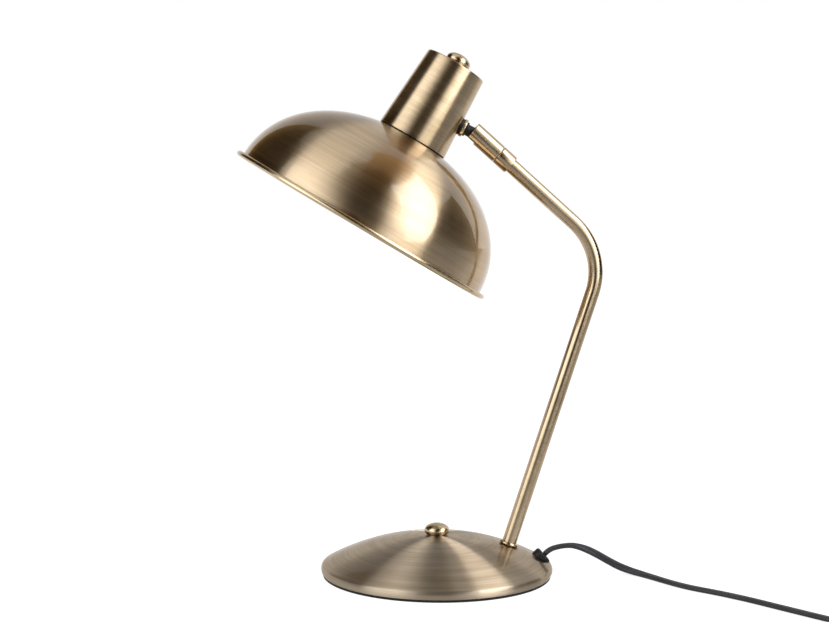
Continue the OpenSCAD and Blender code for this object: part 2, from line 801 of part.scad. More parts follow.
module cord_front() {
    color("#1b1b1d") sweep(front_route, lead_w, lead_t, 0, 0, route_sides);
}

module cord_link() {
    color("#1b1b1d") sweep(link_route, lead_w, lead_t, 0, 90, route_sides);
}

module cord_coil() {
    color("#1b1b1d") sweep(coil_route, lead_w, lead_t * cos(30), 90, 90, coil_sides);
}

module cord_tail() {
    color("#1b1b1d") sweep(tail_route, lead_w, lead_t, 90, 0, route_sides);
}

// A strap round the bundle of loops, across it at the far side from the switch
module cord_tie() {
    step = lead_t + coil_side_gap;
    inner_w = (coil_turns / 2 - 0.5) * step + lead_t + 2 * tie_slack;
    inner_h = coil_z + coil_layer + lead_w / 2 + tie_slack - tie_t;
    mid = coil_r - coil_turns / 4 * step;
    color("#2c2c2e") translate([coil_x, coil_y + mid, 0]) rotate([90, 0, 90])
        translate([0, 0, -tie_w / 2]) linear_extrude(tie_w) difference() {
            translate([-inner_w / 2 - tie_t, 0]) square([inner_w + 2 * tie_t, inner_h + 2 * tie_t]);
            translate([-inner_w / 2, tie_t]) square([inner_w, inner_h]);
        }
}

// Cord grip: the shank is square to the crown, and the head leans outward. Its underside is
// shaped to the crown, and notches at two sides part its rim into lobes.
module at_grip() {
    at_crown(grip_x) translate([0, 0, -grip_sink]) rotate([0, grip_tip, 0]) children();
}

module cord_grip() {
    rim = grip_d / 2 - grip_edge_r;
    color("#121213") {
        difference() {
            at_grip() difference() {
                rotate_extrude() {
                    translate([0, -grip_t]) square([grip_d / 2, grip_t + grip_top - grip_edge_r]);
                    square([rim, grip_top]);
                    translate([rim, grip_top - grip_edge_r]) circle(r = grip_edge_r);
                }
                for (side = [-1, 1]) translate([-grip_d * 0.2, side * grip_d / 2, -grip_t - past])
                    cylinder(d = grip_notch_d, h = grip_t + grip_top + 2 * past);
            }
            translate([0, 0, crown_z]) sphere(r = crown_r + fit_gap, $fn = 720);
        }
        at_crown(grip_x) translate([0, 0, -grip_shank_len])
            cylinder(d = grip_shank_d, h = grip_shank_len + fit_gap * 2 + grip_seat);
        at_crown(grip_x) translate([0, 0, -grip_shank_len])
            cylinder(d = grip_shank_d + grip_snap, h = grip_shank_len - cover_t - seam_gap);
    }
}

// Switch on the lead
module switch_plan(inset) {
    hull() {
        circle(d = switch_w - 2 * inset, $fn = 48);
        for (end = [-1, 1]) translate([end * (switch_len - switch_end_d) / 2, 0])
            circle(d = switch_end_d - 2 * inset, $fn = 32);
    }
}

module lead_ways() {
    way = [8 + 2 * past, lead_w + 2 * lead_slack, lead_t + 2 * lead_slack];
    for (end = [-1, 1]) translate([end * (switch_len / 2 - 4), 0, switch_split])
        cube(way, center = true);
}

module switch_base() {
    color("#1c1c1e") translate([switch_x, switch_y, 0]) difference() {
        linear_extrude(switch_split) switch_plan(0);
        translate([0, 0, switch_wall]) linear_extrude(switch_split)
            square([cavity_len, cavity_w], center = true);
        lead_ways();
        for (side = [-1, 1]) translate([0, side * screw_y, -past])
            cylinder(d = screw_hole_d, h = switch_split + 2 * past);
    }
}

module switch_cover() {
    top_step = 2;
    color("#1c1c1e") translate([switch_x, switch_y, 0]) difference() {
        translate([0, 0, switch_split]) {
            linear_extrude(switch_h - switch_split - top_step) switch_plan(0);
            translate([0, 0, switch_h - switch_split - top_step])
                linear_extrude(top_step) switch_plan(switch_bevel);
        }
        translate([0, 0, switch_split - past])
            linear_extrude(switch_h - switch_split - switch_wall + past)
                square([cavity_len, cavity_w], center = true);
        translate([0, 0, switch_h]) cube([rocker_len, rocker_w, 4 * switch_wall], center = true);
        lead_ways();
        for (side = [-1, 1]) translate([0, side * screw_y, switch_split - past])
            cylinder(d = screw_hole_d, h = screw_grip + seam_gap + past);
    }
}

// The rocker's shallow V turns about a pivot just under the cover's top
module switch_rocker() {
    half = rocker_len / 2 - rocker_gap;
    color("#e9e7e2") translate([switch_x, switch_y, switch_h - 1.2]) rotate([0, rocker_tilt, 0])
        rotate([90, 0, 0]) translate([0, 0, -rocker_w / 2 + rocker_gap])
            linear_extrude(rocker_w - 2 * rocker_gap)
                polygon([[-half, -1.4], [-half, 3.2], [0, 2], [half, 3.2], [half, -1.4], [0, -4]]);
}

module switch_screws() {
    color("#8f8d88") for (side = [-1, 1])
        translate([switch_x, switch_y + side * screw_y, seam_gap])
            cylinder(d = screw_shank_d, h = switch_split + screw_grip - seam_gap);
}

module switch_contact() {
    color("#c8a45c") translate([switch_x, switch_y, switch_wall + 1]) cube([24, 6, 2], center = true);
}

// Plug: a flat moulded body with a tapered sleeve over the lead and two round pins
module plug_body() {
    relief = relief_len - 2;
    color("#1a1a1c") translate([plug_x, plug_y, plug_z]) rotate([-90, 0, 0]) difference() {
        union() {
            cylinder(d1 = lead_w + 1.6, d2 = 10.4, h = relief_len);
            hull() {
                translate([0, 0, relief]) cylinder(d = 12, h = 2, $fn = 32);
                for (s = [-1, 1]) translate([s * (plug_w - plug_t) / 2, 0, relief_len + plug_len * 0.6])
                    cylinder(d = plug_t, h = plug_len * 0.4, $fn = 32);
            }
        }
        for (s = [-1, 1]) translate([s * pin_gap / 2, 0, relief_len + plug_len - pin_seat])
            cylinder(d = pin_d + 2 * fit_gap, h = pin_seat + past);
    }
}

module plug_pins() {
    color("#c7c5c0") translate([plug_x, plug_y, plug_z]) rotate([-90, 0, 0])
        for (s = [-1, 1])
            translate([s * pin_gap / 2, 0, relief_len + plug_len - pin_seat + fit_gap])
                cylinder(d = pin_d, h = pin_seat + pin_len - fit_gap);
}

base_cover();
base_plate();
base_weight();
foot_pad();
base_bolt();
base_nut();
base_knob();
arm_tube();
arm_ring();
arm_washer();
arm_nut();
arm_lead();
arm_coupling();
swivel_bush();
swivel_socket();
joint_lead();
seat_spring();
ball_seat();
ball_stud();
stud_ring();
stud_washer();
stud_nut();
head_cap();
cap_knob();
cap_nipple();
nipple_nut();
head_lead();
lampholder();
holder_shell();
holder_contact();
shade_ring();
shade();
bulb_glass();
bulb_cap();
bulb_contact();
cord_grip();
cord_front();
switch_base();
switch_cover();
switch_rocker();
switch_screws();
switch_contact();
cord_link();
cord_coil();
cord_tie();
cord_tail();
plug_body();
plug_pins();
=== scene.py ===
# %% [markdown]
# # A desk lamp in brushed, lacquered brass
#
# The lamp's working model is already built at its real size: every piece, joint and screw is
# in the imported frame. This lesson dresses it. The big turned and spun pieces are remade as
# smooth surfaces, the lead gets its real flat section, and each finish is described with
# shader nodes. We start by loading the frame. Nothing that we add may make the lamp larger.

import json
import math

import bmesh
import bpy
import numpy as np
from mathutils import Matrix


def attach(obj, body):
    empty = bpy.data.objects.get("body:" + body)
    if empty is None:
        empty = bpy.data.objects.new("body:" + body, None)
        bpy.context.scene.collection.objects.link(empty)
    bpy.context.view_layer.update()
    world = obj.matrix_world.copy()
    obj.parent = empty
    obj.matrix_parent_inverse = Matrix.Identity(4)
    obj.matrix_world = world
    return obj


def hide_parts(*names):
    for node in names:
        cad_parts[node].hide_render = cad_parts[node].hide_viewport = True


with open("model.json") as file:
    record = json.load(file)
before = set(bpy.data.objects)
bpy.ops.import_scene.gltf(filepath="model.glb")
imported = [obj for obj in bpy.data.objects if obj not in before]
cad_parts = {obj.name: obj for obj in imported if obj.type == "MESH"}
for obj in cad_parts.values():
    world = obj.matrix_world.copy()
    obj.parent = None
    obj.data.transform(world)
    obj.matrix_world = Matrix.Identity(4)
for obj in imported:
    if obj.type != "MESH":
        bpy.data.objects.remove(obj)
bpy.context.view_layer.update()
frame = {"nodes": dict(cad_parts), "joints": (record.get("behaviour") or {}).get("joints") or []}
NODES = frame["nodes"]
JOINTS = {joint["name"]: joint for joint in frame["joints"]}
MM = 0.001
print("nodes:", len(NODES), "joints:", sorted(JOINTS))

# %% [markdown]
# ## The camera
#
# The photograph was taken from the front with a long lens, a little above the shade's rim.
# A camera's pose is a place and three directions: where it looks, what it calls up, and the
# right that follows from both. The focal length is given in millimetres on a 36 mm sensor.

# %% Camera
CAMERA_AT = np.array([-0.10314, -1.13398, 0.27849])
CAMERA_LOOK = np.array([0.075966, 0.993605, -0.083536])
CAMERA_UP = np.array([0.000794, 0.083718, 0.996489])
LENS_MM = 72.39

camera_data = bpy.data.cameras.new("photo_camera")
camera_data.lens = LENS_MM
camera_data.sensor_width = 36.0
camera_data.clip_end = 20.0
camera = bpy.data.objects.new("photo_camera", camera_data)
bpy.context.scene.collection.objects.link(camera)
right = np.cross(CAMERA_LOOK, CAMERA_UP)
matrix = np.eye(4)
matrix[:3, 0] = right / np.linalg.norm(right)
matrix[:3, 1] = CAMERA_UP
matrix[:3, 2] = -CAMERA_LOOK
matrix[:3, 3] = CAMERA_AT
camera.matrix_world = Matrix(matrix.tolist())
bpy.context.scene.camera = camera
print("camera at", CAMERA_AT.round(3), "lens", LENS_MM, "mm")

# %% [markdown]
# ## Surfaces from grids
#
# Nearly every piece here is a grid: one direction goes round an axis or along a path, and
# the other goes over a profile. A grid is easy to compute as one numpy array and easy to
# turn into quads. Each grid also gets a UV map, with U round the piece and V along its
# profile in real metres, because the brushed finish needs to know which way the grooves run.

# %% Grid to mesh
SAME_POINT = 1e-7


def grid_mesh(name, points, uv, wrap_u=False, wrap_v=False):
    """A quad mesh over points[i, j]. Row i is a step in U and column j a step in V. A wrapped
    direction joins its last line to its first, and uv has one more line there."""
    nu, nv = points.shape[:2]
    iu = np.arange(nu if wrap_u else nu - 1)
    iv = np.arange(nv if wrap_v else nv - 1)
    a, b = np.meshgrid(iu, iv, indexing="ij")
    corner = [(a, b), (a + 1, b), (a + 1, b + 1), (a, b + 1)]
    quads = np.stack([(p % nu) * nv + (q % nv) for p, q in corner], -1).reshape(-1, 4)
    corner_uv = np.stack([uv[p, q] for p, q in corner], -2).reshape(-1, 2)
    mesh = bpy.data.meshes.new(name)
    mesh.from_pydata(points.reshape(-1, 3).tolist(), [], quads.tolist())
    layer = mesh.uv_layers.new(name="brush")
    layer.data.foreach_set("uv", corner_uv.ravel())
    mesh.polygons.foreach_set("use_smooth", np.ones(len(quads), bool))
    piece = bpy.data.objects.new(name, mesh)
    bpy.context.scene.collection.objects.link(piece)
    return piece


def close_caps(piece):
    """Merges the points that fall together at a pole, drops the faces that vanish, and turns
    the rest outwards."""
    shape = bmesh.new()
    shape.from_mesh(piece.data)
    bmesh.ops.remove_doubles(shape, verts=shape.verts, dist=SAME_POINT)
    bmesh.ops.dissolve_degenerate(shape, edges=shape.edges, dist=SAME_POINT)
    bmesh.ops.recalc_face_normals(shape, faces=shape.faces)
    shape.to_mesh(piece.data)
    shape.free()
    return piece

# %% [markdown]
# ## Where things stand
#
# A turned piece is easiest to draw standing upright, with Z as its axis. A seat is the small
# frame of axes that carries such a drawing to its place on the lamp. The whole lamp lies in
# one plane, so a seat needs only its origin and the direction of its axis. The ball joint's
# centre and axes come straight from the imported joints, so the head stays where the motion
# says it is. Sizes are named in millimetres from here on, and MM turns them into the scene's
# metres when a mesh is made.

# %% Seats
def seat(origin, axis):
    """A 4 by 4 frame whose Z is the axis, whose Y is the world's Y, and whose X is Y times Z."""
    z = np.array(axis, float) / np.linalg.norm(axis)
    y = np.array([0.0, 1.0, 0.0])
    out = np.eye(4)
    out[:3, 0], out[:3, 1], out[:3, 2], out[:3, 3] = np.cross(y, z), y, z, origin
    return out


def place(points, at):
    """Points carried from a seat's own axes to the lamp's."""
    return points @ at[:3, :3].T + at[:3, 3]


def lean(degrees):
    """The direction that leans from straight up toward +X by an angle."""
    return np.array([math.sin(math.radians(degrees)), 0.0, math.cos(math.radians(degrees))])


BALL = np.array(JOINTS["head_tilt"]["pos_m"])
BARREL_AXIS = np.array(JOINTS["head_swivel"]["axis"])
STUD_AXIS = np.array(JOINTS["head_roll"]["axis"])
STUD = seat(BALL, STUD_AXIS)

# The cap's two radii and its height, and where the stud meets its wall, in millimetres.
CAP_LOW_R, CAP_TOP_R, CAP_H = 25.2, 21.5, 58.8
STUD_H, STUD_REACH = 25.0, 13.9


def cap_radius(height):
    """The cap's outer radius at a height: a straight line from the low radius to the top one."""
    return CAP_LOW_R - (CAP_LOW_R - CAP_TOP_R) * height / CAP_H


CAP_TAPER = math.atan((CAP_LOW_R - CAP_TOP_R) / CAP_H)
head_axis = math.cos(CAP_TAPER) * STUD[:3, 0] - math.sin(CAP_TAPER) * STUD_AXIS
HEAD = seat(BALL + STUD_REACH * MM * STUD_AXIS, head_axis)
HEAD[:3, 3] -= (cap_radius(STUD_H) * HEAD[:3, 0] + STUD_H * HEAD[:3, 2]) * MM
UPRIGHT = np.eye(4)
print("head's seam at", HEAD[:3, 3].round(4), "axis", HEAD[:3, 2].round(4))

# %% [markdown]
# ## Profiles
#
# A spun shade, a turned knob and a pressed cover are all profiles turned about an axis. The
# helpers below draw an arc, join parts into one path, and turn the path into a surface. The V
# coordinate is the distance along the profile, so that the same finish has the same scale on
# every piece.

# %% Profile helpers
def arc(middle, r, start, stop, count):
    """Points on a circle of radius r about a middle, from one angle to another in degrees:
    the middle plus r times the cosine and the sine of each angle."""
    a = np.radians(np.linspace(start, stop, count))
    return np.stack([middle[0] + r * np.cos(a), middle[1] + r * np.sin(a)], -1)


def joined(*parts):
    """The parts one after another, without points that repeat."""
    path = np.concatenate([np.atleast_2d(np.asarray(p, float)) for p in parts])
    step = np.linalg.norm(np.diff(path, axis=0), axis=1)
    return path[np.concatenate([[True], step > SAME_POINT])]


def turned(name, profile, at, steps=128, closed=False):
    """A profile of radius and height turned about the Z of its seat: X is the radius times the
    cosine of the angle, Y the radius times its sine, and Z the height. U is the angle as a
    share of a turn, and V is the length along the profile in metres."""
    profile = np.asarray(profile, float)
    length = np.concatenate([[0], np.cumsum(np.linalg.norm(np.diff(profile, axis=0), axis=1))])
    if closed:
        length = np.append(length, length[-1] + np.linalg.norm(profile[0] - profile[-1]))
    angle = 2 * np.pi * np.arange(steps) / steps
    r, z = profile[:, 0], profile[:, 1]
    points = np.stack([r * np.cos(angle)[:, None], r * np.sin(angle)[:, None],
                       z + 0 * angle[:, None]], -1)
    u = np.arange(steps + 1)[:, None] / steps + 0 * length
    v = length + 0 * u
    piece = grid_mesh(name, place(points, at), np.stack([u, v], -1), wrap_u=True, wrap_v=closed)
    return close_caps(piece)

# %% [markdown]
# ## Round corners
#
# No pressed or turned edge is perfectly sharp, and the thin bright line along an edge is what
# tells the eye that it is metal. This helper takes a corner list, each corner with its own
# radius, and replaces each corner by a small arc that touches both sides.

# %% Rounded corner lists
def rounded(corners, count=5):
    """A path through corners (r, z, radius), where each radius above zero gives an arc."""
    path = []
    for i, (x, z, radius) in enumerate(corners):
        here = np.array([x, z], float)
        if radius <= 0 or i in (0, len(corners) - 1):
            path.append(here)
            continue
        before = np.array(corners[i - 1][:2]) - here
        after = np.array(corners[i + 1][:2]) - here
        before /= np.linalg.norm(before)
        after /= np.linalg.norm(after)
        half = math.acos(np.clip(before @ after, -1, 1)) / 2
        middle = here + (before + after) / np.linalg.norm(before + after) * radius / math.sin(half)
        first = here + before * radius / math.tan(half) - middle
        last = here + after * radius / math.tan(half) - middle
        share = np.linspace(0, 1, count + 1)[:, None]
        spread = math.pi - 2 * half
        weight = np.sin(np.stack([(1 - share) * spread, share * spread])) / math.sin(spread)
        path.extend(middle + weight[0] * first + weight[1] * last)
    return np.array(path)

# %% [markdown]
# ## The cord
#
# The lead is a flat two-core cord. It leaves the grip flat, turns on edge as it comes down,
# and lies flat again on the table. A cord's route is easiest to give point by point, so the
# numbers below are the places of its middle in millimetres, with its twist in degrees as the
# fourth number. The spare length is wound into a coil, and that is worked out: a spiral that goes
# in, steps up one layer and comes out again.

# %% Cord route
FRONT = [
    [75.5, 0, 13.1, 0], [77.9, 0, 15.2, 0], [80.7, 0, 16.8, 0], [84.7, -0.1, 18, 0],
    [89.3, -0.3, 18.8, 0], [94.5, -0.7, 19, 8], [100, -1.3, 18, 30], [106, -2.2, 15.9, 62],
    [112.5, -3.5, 12.8, 82], [119.5, -5.3, 9, 86], [126.5, -7.6, 5.6, 70], [133.5, -10.7, 3.3, 40],
    [140.5, -16.5, 2.1, 18], [147, -26, 1.8, 6], [154.5, -38.5, 1.7, 0], [163, -51, 1.7, 0],
    [183, -72, 1.7, 0], [193, -83.5, 1.7, 0], [213, -110.3, 1.7, 0], [233, -137, 1.7, 0],
    [242, -148, 1.7, 0],
    [251, -156, 2.2, 0], [260, -160.7, 3.6, 0], [268, -162.2, 5.6, 0], [275, -162.5, 6.5, 0],
]
THROUGH_SWITCH = [[290, -162.5, 6.5, 0], [306, -162.5, 6.5, 0], [322, -162.5, 6.5, 0]]
LINK = [
    [331.5, -162.5, 6.5, 0], [337, -162.5, 6.5, 6], [345, -161.3, 6.3, 20],
    [352.5, -157.4, 5.6, 38], [359, -150.4, 4.8, 55], [363.8, -140, 4.1, 72],
    [366, -128, 3.7, 84], [366.5, -117, 3.7, 90],
]
TAIL = [
    [366.5, -88, 9.2, 70], [366.5, -78, 8.3, 46], [366.5, -68, 7.4, 20], [366.5, -52, 6.8, 2],
    [366.5, -46, 6.8, 0], [366.5, -36, 6.8, 0],
]
CORD_W, CORD_T = 5.2, 3.2
COIL_AT, COIL_R, COIL_TURNS = np.array([331.8, -102.0, 3.7]), 34.7, 8
COIL_STEP, COIL_LAYER = CORD_T + 0.65, CORD_W + 0.5

turn = np.linspace(0, COIL_TURNS, COIL_TURNS * 24 + 1)
inward = np.minimum(turn, COIL_TURNS - turn)
climb = np.clip((turn - COIL_TURNS / 2 + 0.25) / 0.5, 0, 1)
ring_r = COIL_R - COIL_STEP * inward
coil = np.stack([COIL_AT[0] + ring_r * np.cos(2 * np.pi * turn),
                 COIL_AT[1] + ring_r * np.sin(2 * np.pi * turn),
                 COIL_AT[2] + COIL_LAYER * climb, 90 + 0 * turn], -1)
lead_in = [[366.5, -107.2, 3.7, 90]]
lead_out = [[366.5, -96.8, 9.4, 88]]
ROUTE = np.concatenate([FRONT, THROUGH_SWITCH, LINK, lead_in, coil, lead_out, TAIL])
print("route points:", len(ROUTE), "of them in the coil:", len(coil))

# %% [markdown]
# ## Sweeping the cord
#
# The route becomes a smooth curve, and the cord's section is carried along it. Blender's own
# curve bevel could do that too, but a grid of our own keeps the twist under control and gives
# the UV map that the finish reads. The whole lead is one mesh that runs through the switch to
# the plug, 5.2 mm wide and 3.2 mm thick, with a shallow groove between its two cores.

# %% Cord
CORD_STEP, CORE_GROOVE = 1.4, 0.3


def smooth_path(points, step):
    """A curve through points with more than a place in each row. Between two points it is the
    cubic whose ends have their places and slopes, and a slope is that between the neighbours.
    Returns rows about a step apart along the first three numbers."""
    points = np.asarray(points, float)
    t = np.concatenate([[0], np.cumsum(np.linalg.norm(np.diff(points[:, :3], axis=0), axis=1))])
    slope = np.gradient(points, t, axis=0)
    s = np.linspace(0, t[-1], int(t[-1] / step) + 1)
    i = np.clip(np.searchsorted(t, s, side="right") - 1, 0, len(t) - 2)
    h = (t[i + 1] - t[i])[:, None]
    x = (s - t[i])[:, None] / h
    return ((2 * x**3 - 3 * x**2 + 1) * points[i] + (x**3 - 2 * x**2 + x) * h * slope[i]
            + (3 * x**2 - 2 * x**3) * points[i + 1] + (x**3 - x**2) * h * slope[i + 1])


def swept(name, path, outline, up=(0, 0, 1), twist=None):
    """A closed outline of (side, top) carried along a path: each point is the path's, plus side
    times the side direction, plus top times the top one. The side direction is square to the
    path and to up, and twist turns the outline by degrees at each point."""
    d = np.gradient(path, axis=0)
    d /= np.linalg.norm(d, axis=1)[:, None]
    side = np.cross(np.array(up, float), d)
    side /= np.linalg.norm(side, axis=1)[:, None]
    top = np.cross(d, side)
    a = np.radians(np.zeros(len(path)) if twist is None else twist)[:, None]
    side, top = side * np.cos(a) + top * np.sin(a), top * np.cos(a) - side * np.sin(a)
    outline = np.asarray(outline, float)
    points = path + outline[:, 0, None, None] * side + outline[:, 1, None, None] * top
    points = np.concatenate([np.broadcast_to(path[:1], (len(outline), 1, 3)), points,
                             np.broadcast_to(path[-1:], (len(outline), 1, 3))], 1)
    length = np.concatenate([[0], np.cumsum(np.linalg.norm(np.diff(path, axis=0), axis=1))])
    length = np.concatenate([[0], length, length[-1:]])
    u = np.arange(len(outline) + 1)[:, None] / len(outline) + 0 * length
    return close_caps(grid_mesh(name, points, np.stack([u, length + 0 * u], -1), wrap_u=True))


def two_core(width, thick, groove, count=9):
    """A flat cord's section: a half circle at each end, and between them a flat whose middle
    dips by the groove's depth, as a bell curve does."""
    r, shift = thick / 2, (width - thick) / 2
    a = np.radians(np.linspace(-90, 90, count))
    flat = np.linspace(shift, -shift, count)[1:-1]
    dip = groove * np.exp(-(flat / (0.32 * shift)) ** 2)
    right_end = np.stack([shift + r * np.cos(a), r * np.sin(a)], -1)
    upper = np.stack([flat, r - dip], -1)
    return np.concatenate([right_end, upper, -right_end, -upper])


line = smooth_path(ROUTE, CORD_STEP)
cord = swept("lead", line[:, :3] * MM, two_core(CORD_W, CORD_T, CORE_GROOVE) * MM, twist=line[:, 3])
cord_length = np.linalg.norm(np.diff(line[:, :3], axis=0), axis=1).sum() * MM
print("cord:", round(cord_length, 3), "m,", len(cord.data.polygons), "faces")

# %% [markdown]
# ## The base
#
# The cover is a disc of sheet brass, spun into a shallow crown with a crease near its rim and
# a rounded band below. It is drawn as one profile from the middle of the crown, over the
# crease, round the band, and back inside 1 mm further in, which gives the sheet its thickness.
# The crease has a small radius, as a spun edge does, and catches a thin line of light.

# %% Base cover
# The crown is part of a sphere, whose radius and middle are given. Then come the band's arc,
# the crease and the sheet's thickness.
CROWN_R, CROWN_Z = 163.449, -135.449
CROWN_TOP = CROWN_R + CROWN_Z
EDGE_R, EDGE_X, EDGE_Z = 5.0, 75.0, 4.7
CREASE_R, CREASE_H = 79.073, 7.6
SHEET_T = 1.0


def crown_height(r, inset=0.0):
    """The height over a radius of the crown's outside, or of a surface inset from it: the
    middle's height plus the root of the sphere's radius squared less the radius squared."""
    return CROWN_Z + np.sqrt((CROWN_R - inset) ** 2 - np.asarray(r, float) ** 2)


crown_line = np.linspace(0, CREASE_R - 0.8, 70)
crown = np.stack([crown_line, crown_height(crown_line)], -1)
start = [CREASE_R - 0.7, float(crown_height(CREASE_R - 0.7)), 0]
stop = arc((EDGE_X, EDGE_Z), EDGE_R, 26, 26, 1)[0]
crease = rounded([start, [CREASE_R, CREASE_H, 1.6], [stop[0], stop[1], 0]], 6)
band = arc((EDGE_X, EDGE_Z), EDGE_R, 24, -35.5, 16)
inner_band = arc((EDGE_X, EDGE_Z), EDGE_R - SHEET_T, -46, 30, 10)
inner_line = np.linspace(CREASE_R - 2 * SHEET_T, 0, 30)
inner = np.stack([inner_line, crown_height(inner_line, SHEET_T)], -1)
base_cover = turned("base_cover_skin", joined(crown, crease, band, inner_band, inner) * MM,
                    UPRIGHT, 320)
print("base rim radius", EDGE_X + EDGE_R, "mm, crown rise", round(CROWN_TOP - CREASE_H, 1), "mm")

# %% [markdown]
# ## Foot pad and knobs
#
# The lamp stands on a disc of black foam. On top of the crown, and again on the cap, sits a
# turned knob that looks like a flattened ball. Two quarter ellipses with different heights give
# such a shape, and one function draws both knobs.

# %% Foot pad and base knob
PAD_R, PAD_T = 78.77, 1.8
foot_pad = turned("foot_pad_skin", rounded([
    [0, 0, 0], [PAD_R, 0, 0.35], [PAD_R, PAD_T, 0.3], [0, PAD_T, 0]]) * MM, UPRIGHT, 160)

KNOB_R, KNOB_SEAT_R, KNOB_H, KNOB_WAIST = 8.7, 6.2, 8.0, 3.0


def knob_profile(height, waist):
    """A knob's outline: a quarter ellipse out from the seat to the full radius at the waist,
    another one from there up to the top, and a flat foot."""
    a = np.radians(np.linspace(0, 90, 18))
    under = np.stack([KNOB_SEAT_R + (KNOB_R - KNOB_SEAT_R) * np.sin(a),
                      waist * (1 - np.cos(a))], -1)
    over = np.stack([KNOB_R * np.cos(a), waist + (height - waist) * np.sin(a)], -1)
    return joined([[0, 0]], under, over) * MM


base_knob = turned("base_knob_skin", knob_profile(KNOB_H, KNOB_WAIST),
                   seat((0, 0, CROWN_TOP * MM), (0, 0, 1)), 96)
print("base knob's top at", round(CROWN_TOP + KNOB_H, 1), "mm")

# %% [markdown]
# ## The arm
#
# The arm is one tube, bent over a former. Its middle line is a straight, an arc and another
# straight, all in the lamp's plane, and it starts square to the crown where it is bolted. A
# polished ring of round wire hides the joint between tube and cover.

# %% Arm and foot ring
# Where the arm stands, its tube, and its straight, its bend and its second straight.
FOOT_X, ARM_D, ARM_LOW, BEND_R, ARM_TURN, ARM_UP = 50.0, 10.0, 184.0, 46.0, 66.3, 59.0
BELOW_COVER, IN_COUPLING = 3.0, 6.0
foot_lean = math.degrees(math.asin(FOOT_X / CROWN_R))
FOOT = seat(np.array([FOOT_X, 0, float(crown_height(FOOT_X))]) * MM, lean(foot_lean))
bend = np.radians(np.linspace(0, ARM_TURN, 49))
up_dir = np.array([-math.sin(bend[-1]), 0, math.cos(bend[-1])])
bend_line = np.stack([BEND_R * (np.cos(bend) - 1), 0 * bend, ARM_LOW + BEND_R * np.sin(bend)], -1)
arm_line = np.concatenate([
    np.linspace([0, 0, -BELOW_COVER], [0, 0, ARM_LOW], 40)[:-1], bend_line,
    (bend_line[-1] + up_dir * np.linspace(0, ARM_UP + IN_COUPLING, 20)[:, None])[1:]])
round_a = 2 * np.pi * np.arange(64) / 64
circle = np.stack([np.cos(round_a), np.sin(round_a)], -1)
arm = swept("arm_tube_skin", place(arm_line * MM, FOOT), circle * ARM_D / 2 * MM, up=(0, 1, 0))

WIRE_R = 1.05
arm_ring = turned("arm_ring_skin", arc((ARM_D / 2 + 0.6 * WIRE_R, WIRE_R), WIRE_R, 0, 345, 24) * MM,
                  FOOT, 96, closed=True)
print("arm's end", place(arm_line[-1:] * MM, FOOT).round(4))

# %% [markdown]
# ## The coupling
#
# A sleeve of a slightly larger tube joins the arm to the swivel. Above it a seam of 0.3 mm
# shows where the upper half turns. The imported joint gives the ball's centre, and everything
# here is measured back from that point, so the seam stays where the joint needs it.

# %% Coupling
# The outer radius of coupling and socket, their lengths, how deep the ball sits, and the seam.
JOINT_R, COUPLING_LEN, SOCKET_LEN, BALL_INSET, SEAM_GAP = 6.6, 11.0, 23.7, 5.2, 0.3
BALL_Z = SOCKET_LEN - BALL_INSET
socket_at = BALL - BARREL_AXIS * BALL_Z * MM
SOCKET = seat(socket_at, BARREL_AXIS)
COUPLING = seat(socket_at - BARREL_AXIS * (COUPLING_LEN + SEAM_GAP) * MM, BARREL_AXIS)
coupling = turned("arm_coupling_skin", rounded([
    [ARM_D / 2 - 0.3, 0, 0], [JOINT_R, 0, 0.45], [JOINT_R, COUPLING_LEN, 0.4],
    [3.4, COUPLING_LEN, 0]], 5) * MM, COUPLING, 96, closed=True)
print("coupling starts at", COUPLING[:3, 3].round(4))

# %% [markdown]
# ## The slotted socket
#
# The ball sits in a barrel with a slot sawn down its lower side, so that the neck can tilt
# into it. A Boolean could cut the slot, but it would leave ragged faces under the finish, so
# the barrel is a grid like the others, with two tricks. In the slot the profile is pressed down
# to the slot's floor, and the grid's lines there are spread by an angle that depends on the
# radius, the arcsine of half the slot over the radius. So the slot's walls are flat and parallel.

# %% Swivel socket
# Half the slot's width, its floor, the ball's bore and the mouth that holds the ball in.
SLOT_HALF, SLOT_FLOOR, BORE_R, MOUTH_R = 4.2, BALL_Z - 1, 5.25, 4.3
LEAD_BORE_R, BORE_FLOOR = 3.6, 3.0
ROUND_STEPS, SLOT_STEPS = 74, 18
seat_top = math.degrees(math.acos(MOUTH_R / BORE_R))
ball_bore = arc((0, BALL_Z), BORE_R, seat_top, 0, 8)
outside = rounded([[LEAD_BORE_R, 0, 0], [JOINT_R, 0, 0.4], [JOINT_R, SOCKET_LEN, 0.45],
                   [MOUTH_R, SOCKET_LEN, 0.25], [MOUTH_R, ball_bore[0, 1], 0]], 5)
wall = np.linspace([JOINT_R, 0.6], [JOINT_R, SOCKET_LEN - 0.6], 30)
outside = joined(outside[:7], wall, outside[7:])
profile = joined(outside, ball_bore, [[BORE_R, BORE_FLOOR]], [[LEAD_BORE_R, BORE_FLOOR]])
full = np.repeat(profile[None], ROUND_STEPS, 0)

# The profile in the slot: what lies above the floor comes down to it, and its inner part keeps
# clear of the bore.
cut = profile.copy()
inside = np.arange(len(cut)) >= np.argmax(np.isclose(profile[:, 1], SOCKET_LEN)) + 3
above = cut[:, 1] > SLOT_FLOOR
cut[above & inside, 0] = np.maximum(cut[above & inside, 0], BORE_R)
cut[above, 1] = SLOT_FLOOR
in_slot = np.repeat(cut[None], SLOT_STEPS, 0)

